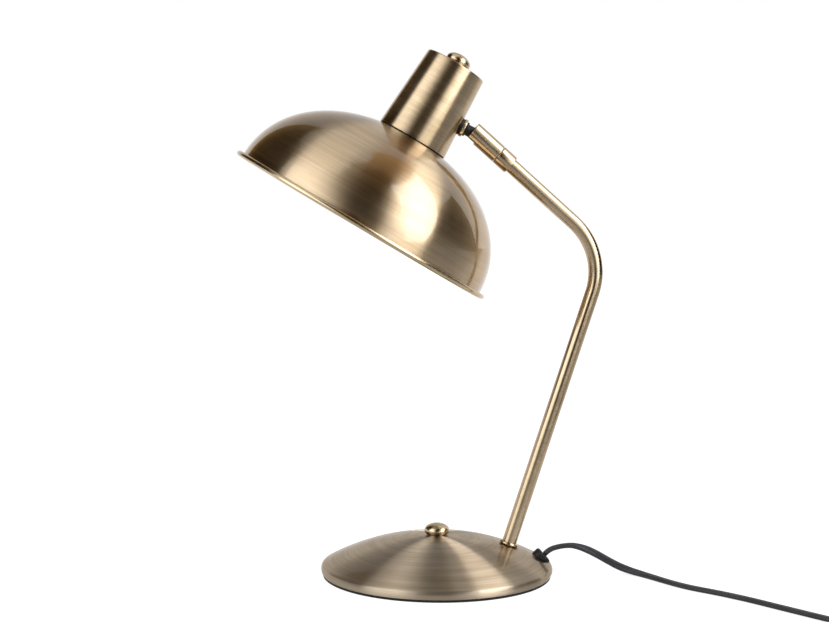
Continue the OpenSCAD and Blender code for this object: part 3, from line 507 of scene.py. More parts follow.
# Each row of the grid starts and ends at the slot's wall, at whatever angle that is.
rows = np.concatenate([full, in_slot])
edge_a = np.arcsin(np.clip(SLOT_HALF / rows[..., 0], -1, 1))
share = np.concatenate([np.linspace(0, 1, ROUND_STEPS), np.linspace(0, 1, SLOT_STEPS)])[:, None]
is_full = (np.arange(ROUND_STEPS + SLOT_STEPS) < ROUND_STEPS)[:, None]
angle = np.where(is_full, np.pi + edge_a + share * (2 * np.pi - 2 * edge_a),
                 np.pi - edge_a + share * 2 * edge_a)
socket_points = np.stack([rows[..., 0] * np.cos(angle), rows[..., 0] * np.sin(angle),
                          rows[..., 1]], -1)
v = np.concatenate([[0], np.cumsum(np.linalg.norm(np.diff(profile, axis=0), axis=1))]) * MM
v = np.append(v, v[-1] + BORE_FLOOR * MM)
u = np.append(angle[:, 0], angle[0, 0] + 2 * np.pi)[:, None] / (2 * np.pi) + 0 * v
socket = grid_mesh("swivel_socket_skin", place(socket_points * MM, SOCKET),
                   np.stack([u, v + 0 * u], -1), wrap_u=True, wrap_v=True)
close_caps(socket)
print("socket:", len(socket.data.polygons), "faces, slot", 2 * SLOT_HALF, "mm wide")

# %% [markdown]
# ## The ball stud
#
# The ball, its neck and its collar are one black-oxidised turned piece. The small polished
# ring beyond the collar and the saddle under the cap come next, and the stud's thread goes
# on through the cap's wall.

# %% Ball stud, ring and saddle
# Radii and lengths of ball, neck, collar and thread, measured out from the ball's centre.
BALL_R, NECK_R, NECK_LEN, COLLAR_R, COLLAR_T = 5.2, 3.9, 9.1, 5.0, 1.5
THREAD_R, STUD_END = 4.0, 20.0
ring_low = NECK_LEN + COLLAR_T
ball_cut = math.degrees(math.asin(NECK_R / BALL_R))
ball_arc = arc((0, 0), BALL_R, -90, 90 - ball_cut - 6, 24)
neck_low = BALL_R * math.cos(math.radians(ball_cut)) + 0.5
stud = turned("ball_stud_skin", joined(ball_arc, rounded([
    [ball_arc[-1, 0], ball_arc[-1, 1], 0], [NECK_R, neck_low, 0.8],
    [NECK_R, NECK_LEN, 0.5], [COLLAR_R, NECK_LEN, 0.3], [COLLAR_R, ring_low, 0.2],
    [THREAD_R, ring_low, 0], [THREAD_R, STUD_END, 0.3], [0, STUD_END, 0]], 5)) * MM, STUD, 96)
RING_R, RING_T = 6.3, 2.2
stud_ring = turned("stud_ring_skin", rounded([
    [THREAD_R + 0.05, ring_low, 0], [RING_R, ring_low, 0.55], [RING_R, ring_low + RING_T, 0.55],
    [THREAD_R + 0.05, ring_low + RING_T, 0]], 6) * MM, STUD, 96, closed=True)
SADDLE_R, SADDLE_T = 5.8, 1.8
saddle_low = ring_low + RING_T + 0.1
saddle_top = saddle_low + SADDLE_T
saddle = turned("stud_washer_skin", rounded([
    [THREAD_R + 0.1, saddle_low, 0], [SADDLE_R, saddle_low, 0.25], [SADDLE_R, saddle_top, 0],
    [THREAD_R + 0.1, saddle_top, 0]], 4) * MM, STUD, 72, closed=True)
print("stud reaches", STUD_END, "mm from the ball, its saddle ends at", round(saddle_top, 1))

# %% [markdown]
# ## The cap
#
# The cap is a tapered can with a flat top, held by a knob like the one on the base. Its wall
# stops 0.7 mm above the shade and goes on as a narrower lip, so a thin gap parts the two; the
# lip is painted black further down, as painted shade that makes this line dark.

# %% Cap
CAP_PARTING, CAP_LIP_R, CAP_EDGE_R = 0.7, 23.6, 1.2
cap = turned("head_cap_skin", joined(
    rounded([[0, CAP_H, 0], [CAP_TOP_R, CAP_H, CAP_EDGE_R], [cap_radius(CAP_PARTING), CAP_PARTING, 0.15],
             [CAP_LIP_R, CAP_PARTING, 0], [CAP_LIP_R, 0, 0], [CAP_LIP_R - 0.6, 0, 0]], 7),
    [[CAP_TOP_R - SHEET_T, CAP_H - SHEET_T]], [[0, CAP_H - SHEET_T]]) * MM, HEAD, 256)
cap_knob = turned("cap_knob_skin", knob_profile(KNOB_H, KNOB_WAIST),
                  seat(place(np.array([[0, 0, CAP_H * MM]]), HEAD)[0], HEAD[:3, 2]), 96)
print("cap:", 2 * CAP_LOW_R, "mm across its foot,", 2 * CAP_TOP_R, "mm across its top")

# %% [markdown]
# ## The shade
#
# The shade is spun from one disc. Its profile is a squared ellipse, where the radius and the
# height are raised to a power a little above two, so that its shoulder is fuller than a
# circle's. The rim is rolled outward into a bead, which stiffens it. The inside is painted
# white to throw the light down, so its faces get a second material.

# %% Shade
# The dome's radius, depth, power and sheet, the seam to the cap, the hole and the bead.
SHADE_R, SHADE_H, SHADE_POWER, SHADE_T = 93.0, 69.0, 2.15, 0.8
SEAM_R, HOLDER_HOLE_R = CAP_LOW_R, 13.9
BEAD_R, BEAD_X, BEAD_Z = 1.9, 95.3, -67.1
# The dome is drawn to just short of its full radius, where its slope would be upright.
NEAR_RIM, NEAR_RIM_INSIDE = 0.9993, 0.999
SHADE_PEAK = SHADE_H / (1 - (SEAM_R / SHADE_R) ** SHADE_POWER) ** (1 / SHADE_POWER)


def dome(r, inset=0.0):
    """The height over a radius of the shade's outside, or of a surface inset from it: the peak
    times the root of one less the radius' share, both powers being SHADE_POWER."""
    share = np.clip(1 - (r / (SHADE_R - inset)) ** SHADE_POWER, 0, 1)
    return (SHADE_PEAK - inset) * share ** (1 / SHADE_POWER) - SHADE_H


swing = np.sin(np.radians(np.linspace(0, 90, 90)))
outer_r = SEAM_R + (SHADE_R * NEAR_RIM - SEAM_R) * swing
outer = np.stack([outer_r, dome(outer_r)], -1)
flare = rounded([[outer[-1, 0], outer[-1, 1], 0], [SHADE_R + 0.15, BEAD_Z + 1, 0.9],
                 [BEAD_X - 1.2, BEAD_Z + 1.5, 0]], 6)
bead = arc((BEAD_X, BEAD_Z), BEAD_R, 128, -150, 34)
inner_r = (SEAM_R + (SHADE_R * NEAR_RIM_INSIDE - SHADE_T - SEAM_R) * swing)[::-1]
inner = np.stack([inner_r, np.minimum(dome(inner_r, SHADE_T), -SHADE_T)], -1)
lip = [[SHADE_R - SHADE_T, BEAD_Z - 1.1]]
top_plate = [[HOLDER_HOLE_R, -SHADE_T], [HOLDER_HOLE_R, 0], [SEAM_R - 1.2, 0]]
shade_profile = joined(top_plate, outer, flare, bead, lip, inner)
shade = turned("shade_skin", shade_profile * MM, HEAD, 360, closed=True)
print("shade:", len(shade.data.polygons), "faces")

# %% [markdown]
# ## Inside the shade
#
# From below one sees the threaded ring that clamps the shade to the holder. It is a turned
# profile again, with ribs for the fingers, which are a ripple in its radius: a grid that is
# fine enough can take them, with no further pieces.

# %% Shade ring
def ribbed(piece_points, ribs, depth, low, high, at):
    """Points of a turned piece with ribs: the radius loses up to a depth, by a cosine wave of
    the angle, but only between two heights and only on the outside."""
    local = (piece_points - at[:3, 3]) @ at[:3, :3]
    r, a = np.hypot(local[:, 0], local[:, 1]), np.arctan2(local[:, 1], local[:, 0])
    on = (local[:, 2] > low) & (local[:, 2] < high) & (r > 0.8 * r.max())
    scale = np.where(on, 1 - depth * (0.5 - 0.5 * np.cos(ribs * a)) / np.maximum(r, 1e-9), 1)
    local[:, :2] *= scale[:, None]
    return place(local, at)


def reshape(piece, points):
    """Writes new places for a piece's points."""
    piece.data.vertices.foreach_set("co", np.asarray(points, float).ravel())
    piece.data.update()


def points_of(piece):
    """A piece's points as an array."""
    out = np.empty(len(piece.data.vertices) * 3)
    piece.data.vertices.foreach_get("co", out)
    return out.reshape(-1, 3)


shade_ring = turned("shade_ring_skin", rounded([
    [13.5, -6.8, 0], [18.6, -6.8, 0.6], [19.5, -5.6, 0.4], [19.5, -1.6, 0.4], [18.6, -0.8, 0],
    [13.5, -0.8, 0]], 3) * MM, HEAD, 240, closed=True)
FINGER_RIBS, RIB_DEPTH = 40, 0.5 * MM
reshape(shade_ring, ribbed(points_of(shade_ring), FINGER_RIBS, RIB_DEPTH, -6 * MM, -1.2 * MM, HEAD))
print("shade ring ribs:", FINGER_RIBS)

# %% [markdown]
# ## Holder and lamp
#
# The holder is a moulded tube with a collar that the shade rests on. A small ball lamp screws
# into it: a globe of opal glass that narrows to a neck, and a metal cap. The glass is hollow,
# so its profile goes out along the outside and comes back 0.8 mm further in.

# %% Holder and lamp
holder = turned("lampholder_skin", rounded([
    [11.3, -8, 0.3], [13.4, -8, 0.4], [13.4, 0, 0.3], [17, 0, 0.3], [17, 2, 0.3], [12.5, 2, 0.3],
    [12.5, 44, 0.8], [7.5, 44, 0.5], [7.5, 50, 0.3], [3.4, 50, 0.3], [3.4, 26, 0],
    [7.55, 26, 0], [7.55, 1.5, 0], [11.3, 1.5, 0]], 3) * MM, HEAD, 96, closed=True)
GLASS_R, GLASS_Z, GLASS_NECK, GLASS_T = 22.5, -30.5, 7.5, 0.8
glass_arc = arc((0, GLASS_Z), GLASS_R, -90, 58, 44)
glass_in = arc((0, GLASS_Z), GLASS_R - GLASS_T, 58, -90, 44)
bulb = turned("bulb_glass_skin", joined(
    glass_arc, rounded([[*glass_arc[-1], 0], [GLASS_NECK + 1.2, -4.5, 3], [GLASS_NECK, -1, 0]], 5),
    [[GLASS_NECK - GLASS_T, -1]], glass_in) * MM, HEAD, 128)
bulb_cap = turned("bulb_cap_skin", rounded([
    [0, -0.6, 0], [6.4, -0.6, 0], [6.4, -1, 0], [7.5, -1, 0.3], [7.5, 0, 0.4], [6.9, 0.4, 0.2],
    [6.9, 22, 0.5], [0, 22, 0]], 3) * MM, HEAD, 72)
print("lamp ball:", 2 * GLASS_R, "mm across")

# %% [markdown]
# ## The cord grip
#
# The grip is a soft black moulding that snaps into the cover. Its head is a fat round disc
# that leans outward, and a notch at either side parts its rim into two lobes, where the halves
# squeeze the lead. The disc is turned first, and then its points are moved: a bell curve of the
# angle about each side says how far in and how far down they go.

# %% Cord grip
# Where the grip stands, how far it tips outward and sinks in, and the size of its notches.
GRIP_X, GRIP_TIP, GRIP_SINK = 72.4, 22.0, 1.6
NOTCH_WIDTH, NOTCH_IN, NOTCH_DOWN = 0.22, 0.13, 0.9 * MM
grip_lean = math.degrees(math.asin(GRIP_X / CROWN_R))
grip_at = np.array([GRIP_X, 0, float(crown_height(GRIP_X))]) * MM - lean(grip_lean) * GRIP_SINK * MM
GRIP = seat(grip_at, lean(grip_lean + GRIP_TIP))
grip = turned("cord_grip_skin", rounded([
    [0, -4, 0], [6.3, -4, 0.3], [6.4, 4.9, 1.7], [3.4, 4.9, 0.5], [3.0, 4.3, 0.4], [0, 4.3, 0]],
    8) * MM, GRIP, 144)
local = (points_of(grip) - GRIP[:3, 3]) @ GRIP[:3, :3]
side_a = np.arctan2(local[:, 1], local[:, 0] + 1.3 * MM)
notch = np.exp(-((np.abs(side_a) - np.pi / 2) / NOTCH_WIDTH) ** 2)
rim = np.clip(np.hypot(local[:, 0], local[:, 1]) / (6.3 * MM), 0, 1) ** 3
local[:, :2] *= (1 - NOTCH_IN * notch * rim)[:, None]
local[:, 2] -= NOTCH_DOWN * notch * rim * (local[:, 2] > 2 * MM)
reshape(grip, place(local, GRIP))
print("grip leans", round(grip_lean + GRIP_TIP, 1), "degrees outward")

# %% [markdown]
# ## Who moves with what
#
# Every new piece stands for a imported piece, so that one is hidden, and the new one rides on
# the same body. Edges sharper than 32 degrees are marked sharp, so that smooth shading stays
# off real edges.

# %% Riding and replacing
STANDS_FOR = [
    (base_cover, "lamp", "base_cover"), (foot_pad, "lamp", "foot_pad"),
    (base_knob, "lamp", "base_knob"), (arm, "lamp", "arm_tube"), (arm_ring, "lamp", "arm_ring"),
    (coupling, "lamp", "arm_coupling"), (grip, "lamp", "cord_grip"),
    (socket, "socket", "swivel_socket"), (stud, "stud", "ball_stud"),
    (stud_ring, "stud", "stud_ring"), (saddle, "head", "stud_washer"), (cap, "head", "head_cap"),
    (cap_knob, "head", "cap_knob"), (shade, "head", "shade"), (shade_ring, "head", "shade_ring"),
    (holder, "head", "lampholder"), (bulb, "head", "bulb_glass"), (bulb_cap, "head", "bulb_cap"),
]
for piece, body, node in STANDS_FOR:
    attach(piece, body)
    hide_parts(node)
    piece.data.set_sharp_from_angle(angle=math.radians(32))
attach(cord, "lamp")
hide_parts("cord_front", "cord_link", "cord_coil", "cord_tail")
print("pieces that replace packed ones:", len(STANDS_FOR) + 1)

# %% [markdown]
# ## Shader helpers
#
# A colour is written as a screen colour, and one function turns it into the linear numbers
# that shaders use. Another small function adds a node, sets its values and links its inputs,
# which keeps each finish short.

# %% Colour and node helpers
def linear(hex_colour):
    """A linear RGBA colour from #rrggbb: the screen's curve undone for each of the three."""
    c = np.array([int(hex_colour[i:i + 2], 16) for i in (1, 3, 5)]) / 255
    c = np.where(c <= 0.04045, c / 12.92, ((c + 0.055) / 1.055) ** 2.4)
    return (*c.tolist(), 1.0)


def blank(name):
    """A new material without nodes."""
    material = bpy.data.materials.new(name)
    material.use_nodes = True
    material.node_tree.nodes.clear()
    return material


def add(material, kind, inputs=None, stops=(), **settings):
    """Adds a shader node. Inputs are values, or output sockets that are linked in. Stops are
    the pairs of place and colour of a colour ramp."""
    node = material.node_tree.nodes.new(kind)
    for name, value in settings.items():
        setattr(node, name, value)
    for name, value in (inputs or {}).items():
        if isinstance(value, bpy.types.NodeSocket):
            material.node_tree.links.new(value, node.inputs[name])
        else:
            node.inputs[name].default_value = value
    for i, (at, colour) in enumerate(stops):
        elements = node.color_ramp.elements
        element = elements[i] if i < len(elements) else elements.new(at)
        element.position = at
        element.color = linear(colour)
    return node


print("mid grey, linear:", round(linear("#808080")[0], 3))

# %% [markdown]
# ## Brushed brass
#
# The sheet pieces were brushed while they turned on the lathe, so their fine grooves run in
# rings. Such grooves spread a highlight across themselves, which is why the base and the cap
# show bright wedges and bands. Three things make it: an anisotropic metal whose direction
# comes from the UV map, streaks of noise that are long round the piece and narrow across it,
# and a clear lacquer coat with its own sharp reflection.
#
# On the flat base the spread is wider than one anisotropic lobe gives. There a second lobe is
# mixed in. It is nearly a mirror along the grooves and very wide across them, so that the
# bright panels of the studio become long wedges with crisp sides.

# %% Brushed brass
# The lacquer's coat, the paler tone at grazing angles, the quarter turn from the grooves to
# the spread, and the streaks: where their tones lie, how their gloss varies, and their sizes.
LACQUER = {"Coat Weight": 1.0, "Coat Roughness": 0.03, "Coat IOR": 1.5}
BRASS_EDGE = "#c9b294"
GROOVE_TURN = 0.25
TONE_PLACES = (0.32, 0.5, 0.68)
ROUGH_SPREAD = 0.06
FINE_ROUND, BROAD_ROUND, BROAD_TIMES = 1.6, 0.8, 9
WIDE_ROUGHNESS, WIDE_ANISOTROPY = 0.39, 0.81


def streaks(material, round_scale, line_mm, detail):
    """Noise that is long round the piece and fine along its profile. U goes on a circle, so
    that the pattern closes, and V counts lines of a given width."""
    uv = add(material, "ShaderNodeUVMap", uv_map="brush").outputs[0]
    parts = add(material, "ShaderNodeSeparateXYZ", {"Vector": uv})
    angle = add(material, "ShaderNodeMath", {0: parts.outputs["X"], 1: 2 * math.pi},
                operation="MULTIPLY").outputs[0]
    cos = add(material, "ShaderNodeMath", {0: angle}, operation="COSINE").outputs[0]
    sin = add(material, "ShaderNodeMath", {0: angle}, operation="SINE").outputs[0]
    across = add(material, "ShaderNodeMath", {0: parts.outputs["Y"], 1: 1 / (line_mm * MM * round_scale)},
                 operation="MULTIPLY").outputs[0]
    spot = add(material, "ShaderNodeCombineXYZ", {"X": cos, "Y": sin, "Z": across}).outputs[0]
    noise = add(material, "ShaderNodeTexNoise", {"Vector": spot, "Scale": round_scale, "Detail": detail,
                                                 "Roughness": 0.6})
    return noise.outputs["Fac"]


def brushed_brass(name, tones, rough, aniso, line_mm, bump_mm=0.0, wide=0.0):
    """Lacquered brass with grooves round its axis. Tones are the dark, the middle and the light
    colour of its streaks. Wide is the share of its reflection that spreads far across them."""
    material = blank(name)
    fine = streaks(material, FINE_ROUND, line_mm, 2.0)
    broad = streaks(material, BROAD_ROUND, line_mm * BROAD_TIMES, 1.0)
    both = add(material, "ShaderNodeMath", {0: fine, 1: broad}, operation="ADD").outputs[0]
    level = add(material, "ShaderNodeMath", {0: both, 1: 0.5}, operation="MULTIPLY").outputs[0]
    tone = add(material, "ShaderNodeValToRGB", {"Fac": level},
               stops=zip(TONE_PLACES, tones)).outputs["Color"]
    roughness = add(material, "ShaderNodeMapRange", {
        "Value": level, "To Min": rough - ROUGH_SPREAD, "To Max": rough + ROUGH_SPREAD}).outputs[0]
    tangent = add(material, "ShaderNodeTangent", direction_type="UV_MAP", uv_map="brush").outputs[0]
    inputs = {"Base Color": tone, "Metallic": 1.0, "Roughness": roughness, "Tangent": tangent,
              "Anisotropic": aniso, "Anisotropic Rotation": GROOVE_TURN,
              "Specular Tint": linear(BRASS_EDGE), **LACQUER}
    if bump_mm:
        inputs["Normal"] = add(material, "ShaderNodeBump", {
            "Height": fine, "Strength": 0.5, "Distance": bump_mm * MM}).outputs[0]
    surface = add(material, "ShaderNodeBsdfPrincipled", inputs).outputs[0]
    if wide:
        lobe = add(material, "ShaderNodeBsdfAnisotropic", {
            "Color": tone, "Roughness": WIDE_ROUGHNESS, "Anisotropy": WIDE_ANISOTROPY,
            "Tangent": tangent}).outputs[0]
        surface = add(material, "ShaderNodeMixShader", {0: wide, 1: surface, 2: lobe}).outputs[0]
    add(material, "ShaderNodeOutputMaterial", {"Surface": surface})
    return material

# %% [markdown]
# ## The lamp's five brasses
#
# All of the lamp's brass is one alloy with an aged, greyish tint, but each piece was finished
# in its own way. Real brushing lines are finer than a pixel at this distance. So the streaks
# are drawn a little coarser than real ones, just wide enough to show.

# %% Brass finishes
BRASS = {
    # Spun sheet, brushed round: soft ring-shaped streaks, and highlights that stretch downward.
    "shade": brushed_brass("antique_brass_shade_brushed", ("#a58f72", "#b49e7f", "#c3ad8d"),
                           0.30, 1.0, 0.9, bump_mm=0.01),
    # The same brushing on a nearly flat disc: crisp bright wedges that meet at the knob.
    "base": brushed_brass("antique_brass_base_brushed", ("#9f8f7a", "#b1a18b", "#c2b29c"),
                          0.30, 1.0, 0.6, bump_mm=0.003, wide=0.6),
    # Brushed round a can: upright bands, light and dark, with faint lines across them.
    "cap": brushed_brass("antique_brass_cap_brushed", ("#9f8b6c", "#b09b7b", "#c1ac8b"),
                         0.30, 1.0, 0.9, bump_mm=0.001),
    # Drawn tube, wiped once along: narrow bright and dark lines that follow the bend.
    "tube": brushed_brass("golden_brass_tube", ("#a48f70", "#b09b7c", "#bba687"),
                          0.17, 0.85, 3.0),
    # Turned and polished: small bright spots, and a mirror of the studio that is slightly soft.
    "polished": brushed_brass("polished_brass_turned", ("#b09c7a", "#bca886", "#c8b492"),
                              0.24, 0.6, 2.0),
}
print("brass finishes:", sorted(BRASS))

# %% [markdown]
# ## Plastics, rubber and painted parts
#
# The other pieces are simpler. Each has a little grain in its gloss and a slow mottling in its
# colour at their real size, because even a moulded part isn't perfectly even, and a perfectly
# even one looks like a toy. Object coordinates suit them, as the grain has no direction.

# %% Other finishes
CLOUDS_PER_METRE, GRAIN_SPREAD = 60.0, 0.08


def grained(name, dark, light, rough, grain_mm, bump_mm, metallic=0.0, specular=0.5):
    """A moulded, cast or plated surface: its colour goes from dark to light in slow clouds, and
    its roughness and its bump follow a fine even grain."""
    material = blank(name)
    where = add(material, "ShaderNodeTexCoord").outputs["Object"]
    grain = add(material, "ShaderNodeTexNoise", {"Vector": where, "Scale": 1 / (grain_mm * MM),
                                                 "Detail": 3.0}).outputs["Fac"]
    cloud = add(material, "ShaderNodeTexNoise", {"Vector": where, "Scale": CLOUDS_PER_METRE,
                                                 "Detail": 2.0}).outputs["Fac"]
    colour = add(material, "ShaderNodeValToRGB", {"Fac": cloud},
                 stops=[(0.35, dark), (0.65, light)]).outputs["Color"]
    roughness = add(material, "ShaderNodeMapRange", {
        "Value": grain, "To Min": rough - GRAIN_SPREAD, "To Max": rough + GRAIN_SPREAD}).outputs[0]
    bump = add(material, "ShaderNodeBump", {"Height": grain, "Strength": 0.4,
                                            "Distance": bump_mm * MM}).outputs[0]
    shader = add(material, "ShaderNodeBsdfPrincipled", {
        "Base Color": colour, "Metallic": metallic, "Roughness": roughness, "Normal": bump,
        "Specular IOR Level": specular})
    add(material, "ShaderNodeOutputMaterial", {"Surface": shader.outputs[0]})
    return material


MATERIALS = {
    # Moulded nylon: black, with a dull gloss from the mould's fine texture.
    "black_moulding": grained("black_nylon_moulding", "#0c0c0e", "#141417", 0.5, 0.4, 0.02, specular=0.3),
    # Extruded cord jacket: charcoal, with a soft line of light along each core.
    "cord": grained("pvc_cord_jacket", "#1d1c21", "#27262c", 0.5, 0.5, 0.02),
    # Cut foam: black with open pores, and no gloss at all.
    "foam": grained("black_foam_pad", "#0f0f10", "#1a1a1b", 0.9, 0.6, 0.15),
    # Oxidised steel: a black so deep that the ball and its neck read as a gap.
    "black_steel": grained("black_oxide_steel", "#0b0a0a", "#151414", 0.4, 0.3, 0.01, specular=0.25),
    # Zinc plating: a pale grey metal with a satin gloss.
    "steel": grained("zinc_plated_steel", "#9a9c9c", "#b8babb", 0.32, 0.8, 0.01, metallic=1.0),
    # Sand-cast iron: dark, rough and dull.
    "iron": grained("cast_iron", "#3a3a3c", "#4c4c4e", 0.8, 0.9, 0.2),
    # Stamped brass for contacts: yellow and fairly bright, without lacquer.
    "contact": grained("contact_brass", "#b8924c", "#cfa962", 0.3, 0.5, 0.01, metallic=1.0),
    # Nylon without dye: milky and slightly waxy.
    "nylon": grained("natural_nylon", "#dcd9cf", "#eae7df", 0.4, 0.5, 0.02),
    # Pressed holder moulding: a warm white with an even gloss.
    "holder": grained("holder_moulding", "#e4dfd3", "#efebe1", 0.3, 0.4, 0.01),
    # Sprayed enamel inside the shade: white, and soft enough to hide the lamp's image.
    "enamel": grained("white_shade_enamel", "#efede8", "#f8f6f1", 0.35, 0.8, 0.02),
    # Opal glass: white through and through, with a clean gloss.
    "glass": grained("opal_bulb_glass", "#eceae4", "#f6f4ee", 0.25, 1.0, 0.01),
    # Pressed aluminium: a pale metal, slightly duller than nickel.
    "aluminium": grained("bulb_cap_aluminium", "#b6b8ba", "#cfd1d2", 0.35, 0.5, 0.01, metallic=1.0),
    # Moulded rocker: pale grey, so that the thumb finds it on the black switch.
    "rocker": grained("rocker_moulding", "#dedcd6", "#ebe9e3", 0.35, 0.4, 0.02),
    # Nickel plating: bright and slightly warm.
    "pins": grained("nickel_plated_pin", "#c2c0ba", "#d8d6d0", 0.2, 0.6, 0.005, metallic=1.0),
}
print("other finishes:", len(MATERIALS))

# %% [markdown]
# ## Dressing the new pieces
#
# Each new piece gets its finish. Each line of the list says which skin wears what, and also
# names the material slot of its imported piece, which the loop doesn't use. A list is the clearest way.

# %% Finish of each new piece
SKINS = [
    (base_cover, BRASS["base"], "plate"),
    (cap, BRASS["cap"], "plate"),
    (shade, BRASS["shade"], "plate"),
    (arm, BRASS["tube"], "brass"),
    (coupling, BRASS["tube"], "brass"),
    (socket, BRASS["tube"], "brass"),
    (arm_ring, BRASS["polished"], "brass"),
    (stud_ring, BRASS["polished"], "brass"),
    (base_knob, BRASS["polished"], "brass"),
    (cap_knob, BRASS["polished"], "brass"),
    (foot_pad, MATERIALS["foam"], "foam"),
    (stud, MATERIALS["black_steel"], "black_steel"),
    (saddle, MATERIALS["black_steel"], "black_steel"),
    (grip, MATERIALS["black_moulding"], "black_plastic"),
    (cord, MATERIALS["cord"], "jacket"),
    (shade_ring, MATERIALS["holder"], "holder_plastic"),
    (holder, MATERIALS["holder"], "holder_plastic"),
    (bulb, MATERIALS["glass"], "bulb_glass"),
    (bulb_cap, MATERIALS["aluminium"], "bulb_aluminium"),
]
for piece, material, slot in SKINS:
    piece.data.materials.append(material)
print("dressed pieces:", len(SKINS))

# %% [markdown]
# ## Pieces with more than one finish
#
# The shade is brushed outside, white inside, and polished on its rolled rim. The cap's lip is
# painted black as painted shade, which makes the parting line dark like a shadow gap. A mesh can
# hold several materials, and every face has the number of its own. Here the number comes from
# where the face's middle is.

# %% Finishes by place
RIM_FROM_R, RIM_BELOW = SHADE_R - 0.3, BEAD_Z + 1.5
INSIDE_UNDER = 0.4


def face_middles(piece, at):
    """The radius and the height of every face's middle in a seat's axes, in millimetres."""
    middle = np.empty(len(piece.data.polygons) * 3)
    piece.data.polygons.foreach_get("center", middle)
    local = (middle.reshape(-1, 3) - at[:3, 3]) @ at[:3, :3] / MM
    return np.hypot(local[:, 0], local[:, 1]), local[:, 2]


shade.data.materials.append(MATERIALS["enamel"])
shade.data.materials.append(BRASS["polished"])
radius, height = face_middles(shade, HEAD)
inside = (height < dome(radius) - INSIDE_UNDER) & (radius < SHADE_R - INSIDE_UNDER) & (height < -INSIDE_UNDER)
rolled = (radius > RIM_FROM_R) & (height < RIM_BELOW)
shade.data.polygons.foreach_set("material_index", inside.astype(int) + 2 * (rolled & ~inside))
# The black moulding on the cap's lip is painted shade: it darkens the parting line, where only shade falls.
cap.data.materials.append(MATERIALS["black_moulding"])
radius, height = face_middles(cap, HEAD)
painted_shade_lip = (height < CAP_PARTING + 0.02) & (radius < CAP_LOW_R - 0.2)
cap.data.polygons.foreach_set("material_index", painted_shade_lip.astype(int))
print("faces inside the shade:", int(inside.sum()), "on its rim:", int((rolled & ~inside).sum()))

# %% [markdown]
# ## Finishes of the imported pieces
#
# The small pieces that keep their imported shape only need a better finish. Their own colours
# are flat, so each material slot takes one of the finishes above.

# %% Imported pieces
NODE_FINISH = {
    "steel": ["base_plate", "base_bolt", "base_nut", "arm_washer", "arm_nut", "seat_spring",
              "stud_nut", "nipple_nut", "switch_screws"],
    "iron": ["base_weight"],
    "contact": ["swivel_bush", "cap_nipple", "holder_shell", "holder_contact", "switch_contact"],
    "nylon": ["ball_seat"],
    "black_moulding": ["switch_base", "switch_cover", "plug_body", "cord_tie", "bulb_contact"],
    "cord": ["arm_lead", "joint_lead", "head_lead"],
    "rocker": ["switch_rocker"],
    "pins": ["plug_pins"],
}
for finish_name, names in NODE_FINISH.items():
    for name in names:
        for material_slot in NODES[name].material_slots:
            material_slot.material = MATERIALS[finish_name]
print("packed pieces dressed:", sum(len(names) for names in NODE_FINISH.values()))

# %% [markdown]
# ## The paper
#
# The lamp stands on pale paper. A real sheet would be lit until it turns white in the picture.
# Here a matt surface catches the shadow, and a faint glow lifts it to white, more so further
# from the lamp. What the metal mirrors is another matter: the paper in front of the lamp and to
# its right is in the shade of the studio, and the brass shows that. So reflections see a
# glow of their own, which the Light Path node tells apart.

# %% Paper floor
PAPER_HALF = 9.0
PAPER_GREY, PAPER_GLOW = "#9a9a9a", 0.8
CLEAN_FROM, CLEAN_TO = 0.35, 1.3
floor_mesh = bpy.data.meshes.new("studio_floor")
floor_mesh.from_pydata([(-PAPER_HALF, -PAPER_HALF, 0), (PAPER_HALF, -PAPER_HALF, 0),
                        (PAPER_HALF, PAPER_HALF, 0), (-PAPER_HALF, PAPER_HALF, 0)], [], [(0, 1, 2, 3)])
floor = bpy.data.objects.new("studio_floor", floor_mesh)
bpy.context.scene.collection.objects.link(floor)

paper = blank("white_paper_floor")
where = add(paper, "ShaderNodeTexCoord").outputs["Object"]
rays = add(paper, "ShaderNodeLightPath").outputs
reach = add(paper, "ShaderNodeVectorMath", {0: where}, operation="LENGTH").outputs["Value"]
clean = add(paper, "ShaderNodeMapRange", {"Value": reach, "From Min": CLEAN_FROM, "From Max": CLEAN_TO,
                                          "To Min": PAPER_GLOW, "To Max": 1.0}).outputs[0]
to_camera = add(paper, "ShaderNodeMath", {0: rays["Is Camera Ray"], 1: rays["Is Transmission Ray"]},
                operation="MAXIMUM").outputs[0]
seen_glow = add(paper, "ShaderNodeMath", {0: clean, 1: to_camera}, operation="MULTIPLY").outputs[0]

depth = add(paper, "ShaderNodeSeparateXYZ", {"Vector": where}).outputs["Y"]
by_depth = add(paper, "ShaderNodeMapRange", {"Value": depth, "From Min": -0.3, "From Max": 0.4,
                                             "To Min": 0.28, "To Max": 0.9}).outputs[0]
front_right = add(paper, "ShaderNodeVectorMath", {0: where, 1: (1.0, -1.0, 0.0)},
                  operation="DOT_PRODUCT").outputs["Value"]
by_side = add(paper, "ShaderNodeMapRange", {"Value": front_right, "From Min": 0.2, "From Max": 0.75,
                                            "To Min": 1.0, "To Max": 0.3}).outputs[0]
mirrored = add(paper, "ShaderNodeMath", {0: by_depth, 1: by_side}, operation="MULTIPLY").outputs[0]
mirror_glow = add(paper, "ShaderNodeMath", {0: mirrored, 1: rays["Is Glossy Ray"]},
                  operation="MULTIPLY").outputs[0]

strength = add(paper, "ShaderNodeMath", {0: seen_glow, 1: mirror_glow}, operation="ADD").outputs[0]
glow = add(paper, "ShaderNodeEmission", {"Strength": strength}).outputs[0]
matt = add(paper, "ShaderNodeBsdfDiffuse", {"Color": linear(PAPER_GREY)}).outputs[0]
both = add(paper, "ShaderNodeAddShader", {0: matt, 1: glow}).outputs[0]
add(paper, "ShaderNodeOutputMaterial", {"Surface": both})
floor_mesh.materials.append(paper)
print("paper:", 2 * PAPER_HALF, "m square")

